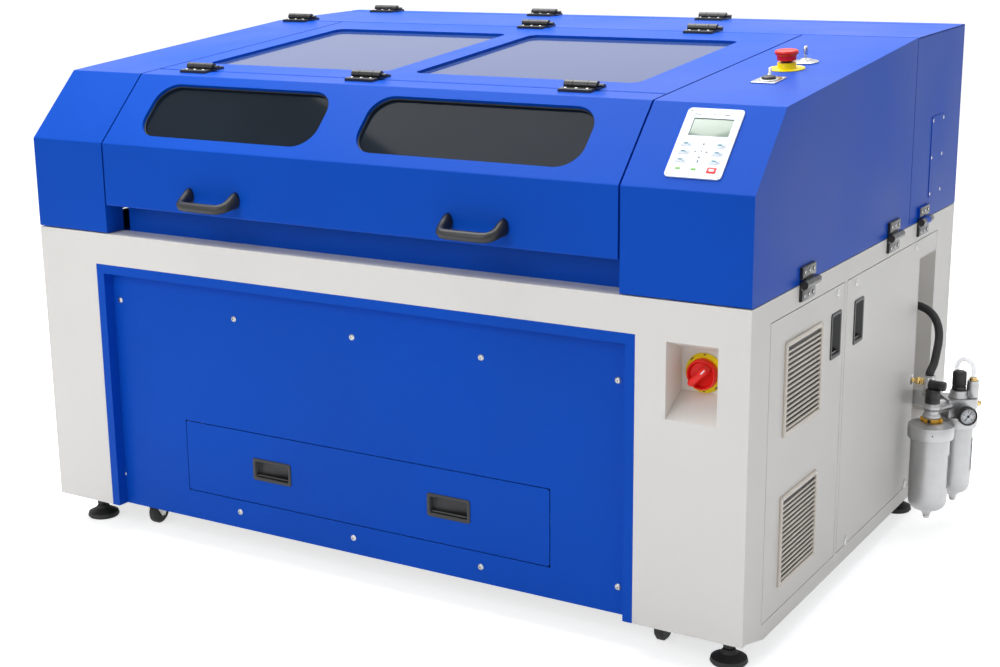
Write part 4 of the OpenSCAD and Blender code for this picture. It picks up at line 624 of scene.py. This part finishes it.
heads.lathe(at, [(14.2, 325), (14.6, 327), (14.6, 356), (13.4, 361), (11, 366.6), (10.2, 367)], "cast", n=48)
heads.lathe(upright(1009.2, 1099.9), [(9, 324.3), (9, 330), (7.6, 331)], "zinc", n=6)
heads.done()

# %%
fittings = Piece("filter_fittings", "cabinet", "brass")
at = upright(992, 965)
fittings.lathe(at, [(16.6, 333.1), (17.4, 334), (17.4, 346), (16.6, 347), (17.4, 348), (17.4, 365), (15, 367)], "black", n=48,
               ribs=0)
elbow = spot(980, 965, 377, (0, 1, 0), (0, 0, 1))
fittings.lathe(elbow, [(6, -0.4), (9.6, 0.6), (11, 3), (11, 24), (11.4, 25), (11.4, 39), (10, 41.6)], "black", n=40)
fittings.lathe(upright(991, 965), [(10.8, 366.6), (10.8, 377), (9.4, 385), (6, 387.8), (0.5, 388)], "black", n=36)
outlet = spot(960.9, 993, 375, (0, -1, 0), (0, 0, 1))
fittings.lathe(outlet, [(8, -0.2), (8.6, 1), (8.6, 5), (6.2, 5.6), (6.2, 8), (9, 8.6), (9, 17), (7, 18), (5.8, 19.4), (5.6, 26),
                        (6.4, 27)], "brass", n=36)
fittings.lathe(outlet, [(5.6, 26.8), (8.6, 28.2), (12.6, 30.4), (12.9, 31.0)], "steel", n=40)
fittings.lathe(upright(1054, 1088), [(10, 367.1), (10, 369), (9, 369.4), (9, 371.4), (10, 371.8), (10, 373.2)], "brass", n=36)
fittings.lathe(upright(1009.2, 1099.9), [(7, 324.1), (7, 332), (6, 332.6), (6, 336), (7, 336.6), (7, 341.2)], "brass", n=30)
turn = math.radians(37)
plug = spot(1024 + 42 * math.cos(turn), 1075 + 42 * math.sin(turn), 306, (-math.sin(turn), math.cos(turn), 0), (0, 0, 1))
fittings.lathe(plug, [(10, 0.1), (10, 3)], "zinc", n=6)
fittings.lathe(plug, [(8, 2.8), (8, 10), (5, 10.6), (5, 15.4), (4, 16)], "brass", n=30)
gland = spot(845, 1112, 532, (0, 1, 0), (0, 0, 1))
fittings.lathe(gland, [(16, 0.1), (16, 3.4), (13.4, 4.2), (13.4, 12.6), (12, 14)], "black", n=36)
fittings.done("air_fittings")

valve = Piece("valve_handle", "drain_valve", "yellow_plastic")
at = upright(992, 965)
valve.lathe(at, [(17.1, 287.2), (20, 287.4), (20, 296.4), (19, 297), (17.1, 297)], "amber", n=48)
for side in (-1, 1):
    valve.skin(at, [[(x * side, y * side, z) for x, y, z in
                     ((17, -4.4, z0), (26, -5.6, z0 - 0.4), (27, 0, z0 - 0.4), (26, 5.6, z0 - 0.4), (17, 4.4, z0))]
                    for z0 in (287.7, 296.4)], "amber")
nut = spot(992, 965 - 19.4, 292, (1, 0, 0), (0, 0, 1))
valve.lathe(nut, [(4.2, 0), (4.2, 2.4), (3, 3)], "black", n=24)
valve.done("valve_wing")

knob = Piece("regulator_cap", "regulator", "black_plastic")
knob.lathe(upright(1024, 1075), [(16.8, 342.6), (16.8, 350), (15.6, 351), (15.6, 354)], "black", n=60)
knob.lathe(upright(1024, 1075), [(15.6, 354), (16.9, 355), (16.9, 384), (16.2, 387), (14, 388.6)], "black", n=120, ribs=24,
           depth=0.9)
knob.lathe(upright(1024, 1075), [(14.2, 388), (13, 389.6), (0.5, 389.9)], "black", n=48)
knob.done("regulator_knob")

# %% [markdown]
# The gauge faces the front right, a little turned. Its dial has bare ticks, a short red tick and a needle.

# %%
gauge = Piece("gauge", "cabinet", "black_plastic")
way = Vector((math.sin(turn), -math.cos(turn), 0))
dial = spot(1024 + 50 * way.x, 1075 + 50 * way.y, 294, (math.cos(turn), math.sin(turn), 0), (0, 0, 1))
gauge.lathe(dial, [(9, -20), (9, -11), (12, -10), (12, -3), (15, -1), (21.5, 0.2), (22.6, 1.4), (22.9, 4), (22.9, 17), (22.2, 19.4),
                   (20.6, 19.9), (19.4, 19.2), (18.9, 17.2), (18.9, 16.4)], "black", n=64)
gauge.lathe(dial, [(18.8, 16.2), (18.8, 16.9), (0.4, 16.9)], "label", n=64)
for k in range(13):
    a = math.radians(225 - k * 22.5)
    long = k % 3 == 0
    tick = dial @ Matrix.Rotation(a, 4, "Z") @ Matrix.Translation((15.2 if long else 15.9, 0, 0))
    gauge.pad(tick, 4.2 if long else 2.6, 0.9 if long else 0.6, 0.1, 16.85, 17.1, "red" if k == 10 else "mark", soft=0.02)
    if long:
        gauge.pad(dial @ Matrix.Rotation(a, 4, "Z") @ Matrix.Translation((10.6, 0, 0)), 2.4, 1.8, 0.3, 16.85, 17.05, "mark",
                  soft=0.02)
gauge.lathe(dial, [(3, 16.8), (3, 18.4), (2, 18.8)], "black", n=20)
gauge.pad(dial @ Matrix.Rotation(math.radians(52), 4, "Z"), 20, 1.5, 0.4, 17.4, 17.9, "black", soft=0.1, x=4)
gauge.pad(dial @ Matrix.Rotation(math.radians(232), 4, "Z"), 9, 1.8, 0.4, 17.3, 17.8, "mark", soft=0.1, x=9)
gauge.done("pressure_gauge")

# %% [markdown]
# The hoses follow a smooth curve through the points of the CAD hoses.

# %%
def smooth_path(points, steps=5):
    points = [Vector(p) for p in points]
    ends = [points[0] * 2 - points[1]] + points + [points[-1] * 2 - points[-2]]
    path = []
    for a, b, c, d in zip(ends, ends[1:], ends[2:], ends[3:]):
        for k in range(steps):
            t = k / steps
            path.append(0.5 * (2 * b + (c - a) * t + (2 * a - 5 * b + 4 * c - d) * t * t + (3 * b - a - 3 * c + d) * t ** 3))
    return path + [points[-1]]


hoses = Piece("air_lines", "cabinet", "black_rubber")
hoses.hose(smooth_path([(846, 1112, 532), (872, 1112, 532), (892, 1111, 532), (911, 1108, 530), (930, 1103, 524),
                        (947, 1095, 513), (960, 1084, 498), (969, 1070, 480), (974, 1053, 461), (976, 1035, 442),
                        (976, 1017, 416), (974.6, 1002, 404), (974, 993, 397), (974, 993, 392.4)], 4), 9.9, "rubber", n=28)
a, b = Vector((1009.2, 1099.9, 0)), Vector((1054, 1088, 0))
arch = [a + Vector((0, 0, 341.4)), a + Vector((0, 0, 389))]
arch += [(a + b) / 2 + (b - a) / 2 * -math.cos(t) + Vector((0, 0, 389 + 26 * math.sin(t)))
         for t in (math.pi * k / 9 for k in range(1, 9))]
arch += [b + Vector((0, 0, 389)), b + Vector((0, 0, 373.4))]
hoses.hose(smooth_path(arch, 4), 5.9, "clear", n=24)
hoses.done("air_hoses")

# %% [markdown]
# ## Grilles
#
# A black sheet stands behind the slats of each grille as painted shade, so the gaps read as dark lines. The bezel has a
# soft outer edge.

# %%
grilles = Piece("side_grilles", "front_door", "cream_paint")
mesh = Piece("grille_gap_shade", "front_door", "black_plastic")
for z in (135, 455):
    middle = on_side(176 + 104, z + 97.5, 915)
    outer = [rounded(208, 195, 5, 0.05), rounded(208, 195, 5, 3.6), rounded(206.6, 193.6, 4.6, 4.7), rounded(204, 191, 4, 5.0),
             rounded(191, 178, 2, 5.0), rounded(188.4, 175.4, 1.6, 4.2), rounded(188, 175, 1.5, 0.05)]
    rings = [[grilles.bm.verts.new(middle @ Vector(p)) for p in loop] for loop in outer]
    rings.append(rings[0])
    faces = [grilles.bm.faces.new((a[k], a[(k + 1) % 24], b[(k + 1) % 24], b[k]))
             for a, b in zip(rings, rings[1:]) for k in range(24)]
    grilles.colour(faces, "cream")
    for i in range(16):
        y = -97.5 + 13 + i * 10.5 + 2.75
        grilles.skin(middle, [rounded(189.6, 5.0, 0.6, 0.8, 0, y), rounded(189.6, 5.4, 1, 2.6, 0, y),
                              rounded(189.6, 3.6, 1, 4.0, 0, y + 0.5)], "cream")
    # This black sheet behind the slats is painted shade for the dark gaps of the grille.
    mesh.pad(middle, 184, 171, 2, -0.9, 0.3, "black", soft=0.1)
grilles.done("front_door_vents")
mesh.done()

# %% [markdown]
# ## Windows
#
# A black ring lies in the recess round each front pane: painted shade for the dark edge where the recess wall falls
# into shadow.

# %%
SILL = 25 + 76
# Black rings round the front panes, painted shade for the dark recess edge.
window_shade_rings = Piece("front_window_shade_rings", "front_hood_lid", "black_plastic")
for x0, x1 in ((-612, -115), (-10, 535)):
    at = on_slope((x0 + x1) / 2, SILL)
    w, h, n = x1 - x0, 152, 48
    loops = [rounded(w - 0.6, h - 0.6, 54, -10.6, steps=11), rounded(w - 0.6, h - 0.6, 54, -8.6, steps=11),
             rounded(w - 4, h - 4, 52, -8.2, steps=11), rounded(w - 6, h - 6, 51, -10.6, steps=11)]
    rings = [[window_shade_rings.bm.verts.new(at @ Vector(p)) for p in loop] for loop in loops]
    window_shade_rings.colour([window_shade_rings.bm.faces.new((a[k], a[(k + 1) % n], b[(k + 1) % n], b[k]))
                 for a, b in zip(rings, rings[1:] + rings[:1]) for k in range(n)], "black")
window_shade_rings.done()

# %% [markdown]
# ## Studio
#
# A pale floor, a plain white surround and three soft lights. The big light stands to the left of the camera and lights the front.
# The overhead light gives the lids their pale sheen. The side of the cabinet gets only the weak fill, so it stays darker.

# %%
floor_mesh = bpy.data.meshes.new("floor")
floor_mesh.from_pydata([(-30, -30, 0), (30, -30, 0), (30, 30, 0), (-30, 30, 0)], [], [(0, 1, 2, 3)])
floor = bpy.data.objects.new("floor", floor_mesh)
bpy.context.scene.collection.objects.link(floor)
pale = finish_material("pale_floor", (0.82, 0.82, 0.82), 0.8, vary=0.01, broad=0.7, grain=60, bump=0.02, specular=0.1)
floor_mesh.materials.append(pale)


def seen_directly(tree):
    """1 for rays from the camera, from a mirror or through glass, and 0 for the light that falls on the machine."""
    path = tree.nodes.new("ShaderNodeLightPath")
    total = None
    for kind in ("Is Camera Ray", "Is Glossy Ray", "Is Transmission Ray"):
        if total is None:
            total = path.outputs[kind]
            continue
        larger = tree.nodes.new("ShaderNodeMath")
        larger.operation = "MAXIMUM"
        tree.links.new(total, larger.inputs[0])
        tree.links.new(path.outputs[kind], larger.inputs[1])
        total = larger.outputs[0]
    return total


shader = pale.node_tree.nodes["Principled BSDF"]
lift = pale.node_tree.nodes.new("ShaderNodeMath")
lift.operation = "MULTIPLY"
lift.inputs[1].default_value = 0.68
pale.node_tree.links.new(seen_directly(pale.node_tree), lift.inputs[0])
shader.inputs["Emission Color"].default_value = (1, 1, 1, 1)
pale.node_tree.links.new(lift.outputs[0], shader.inputs["Emission Strength"])


def area_light(name, place, target, size, power, tint=(1, 1, 1)):
    data = bpy.data.lights.new(name, "AREA")
    data.shape, data.size, data.size_y, data.energy, data.color = "RECTANGLE", size[0], size[1], power, tint
    light = bpy.data.objects.new(name, data)
    light.location = place
    light.rotation_euler = (Vector(target) - Vector(place)).to_track_quat("-Z", "Y").to_euler()
    bpy.context.scene.collection.objects.link(light)


area_light("key", (-1.0, -4.8, 3.0), (0, 0, 0.6), (3.0, 2.4), 72)
area_light("overhead", (-0.7, 0.5, 4.2), (0, 0, 0.8), (4.5, 3.5), 250)
area_light("fill", (4.6, -1.4, 2.2), (0, 0, 0.6), (2.5, 2.5), 7)

world = bpy.data.worlds.new("studio")
bpy.context.scene.world = world
world.use_nodes = True
tree = world.node_tree
tree.nodes.clear()
lit, seen, blend = (tree.nodes.new("ShaderNode" + k) for k in ("Background", "Background", "MixShader"))
lit.inputs["Color"].default_value = (0.93, 0.96, 1.0, 1)
direction, split, height = (tree.nodes.new("ShaderNode" + k) for k in ("TexCoord", "SeparateXYZ", "MapRange"))
height.inputs["To Min"].default_value = 0.12
height.inputs["To Max"].default_value = 0.6
tree.links.new(direction.outputs["Generated"], split.inputs[0])
tree.links.new(split.outputs["Z"], height.inputs["Value"])
tree.links.new(height.outputs["Result"], lit.inputs["Strength"])
seen.inputs["Color"].default_value = (1, 1, 1, 1)
seen.inputs["Strength"].default_value = 1.0
tree.links.new(seen_directly(tree), blend.inputs["Fac"])
tree.links.new(lit.outputs[0], blend.inputs[1])
tree.links.new(seen.outputs[0], blend.inputs[2])
tree.links.new(blend.outputs[0], tree.nodes.new("ShaderNodeOutputWorld").inputs["Surface"])
bpy.context.scene.view_settings.view_transform = "Standard"

# %% [markdown]
# ## Camera
#
# The camera stands where the verticals and the vanishing points of a view of this machine put it: 31 degrees round to the right,
# 14 degrees down, with a half-degree roll.

# %%
AZIMUTH, DOWN, ROLL = (math.radians(a) for a in (30.76, 14.11, -0.5))
ahead = Vector((-math.sin(AZIMUTH) * math.cos(DOWN), math.cos(AZIMUTH) * math.cos(DOWN), -math.sin(DOWN)))
right = Vector((math.cos(AZIMUTH), math.sin(AZIMUTH), 0))
up = right.cross(ahead)
right, up = (math.cos(ROLL) * right + math.sin(ROLL) * up, -math.sin(ROLL) * right + math.cos(ROLL) * up)
lens = bpy.data.cameras.new("camera")
lens.lens, lens.sensor_width, lens.clip_end = 58.375, 36.0, 60.0
lens.shift_x, lens.shift_y = -0.00569, -0.00327
camera = bpy.data.objects.new("camera", lens)
camera.matrix_world = Matrix.Translation((Vector((2013, -2735, 1451)) - CENTRE) * 0.001) @ Matrix(
    (right, up, -ahead)).transposed().to_4x4()
bpy.context.scene.collection.objects.link(camera)
bpy.context.scene.camera = camera
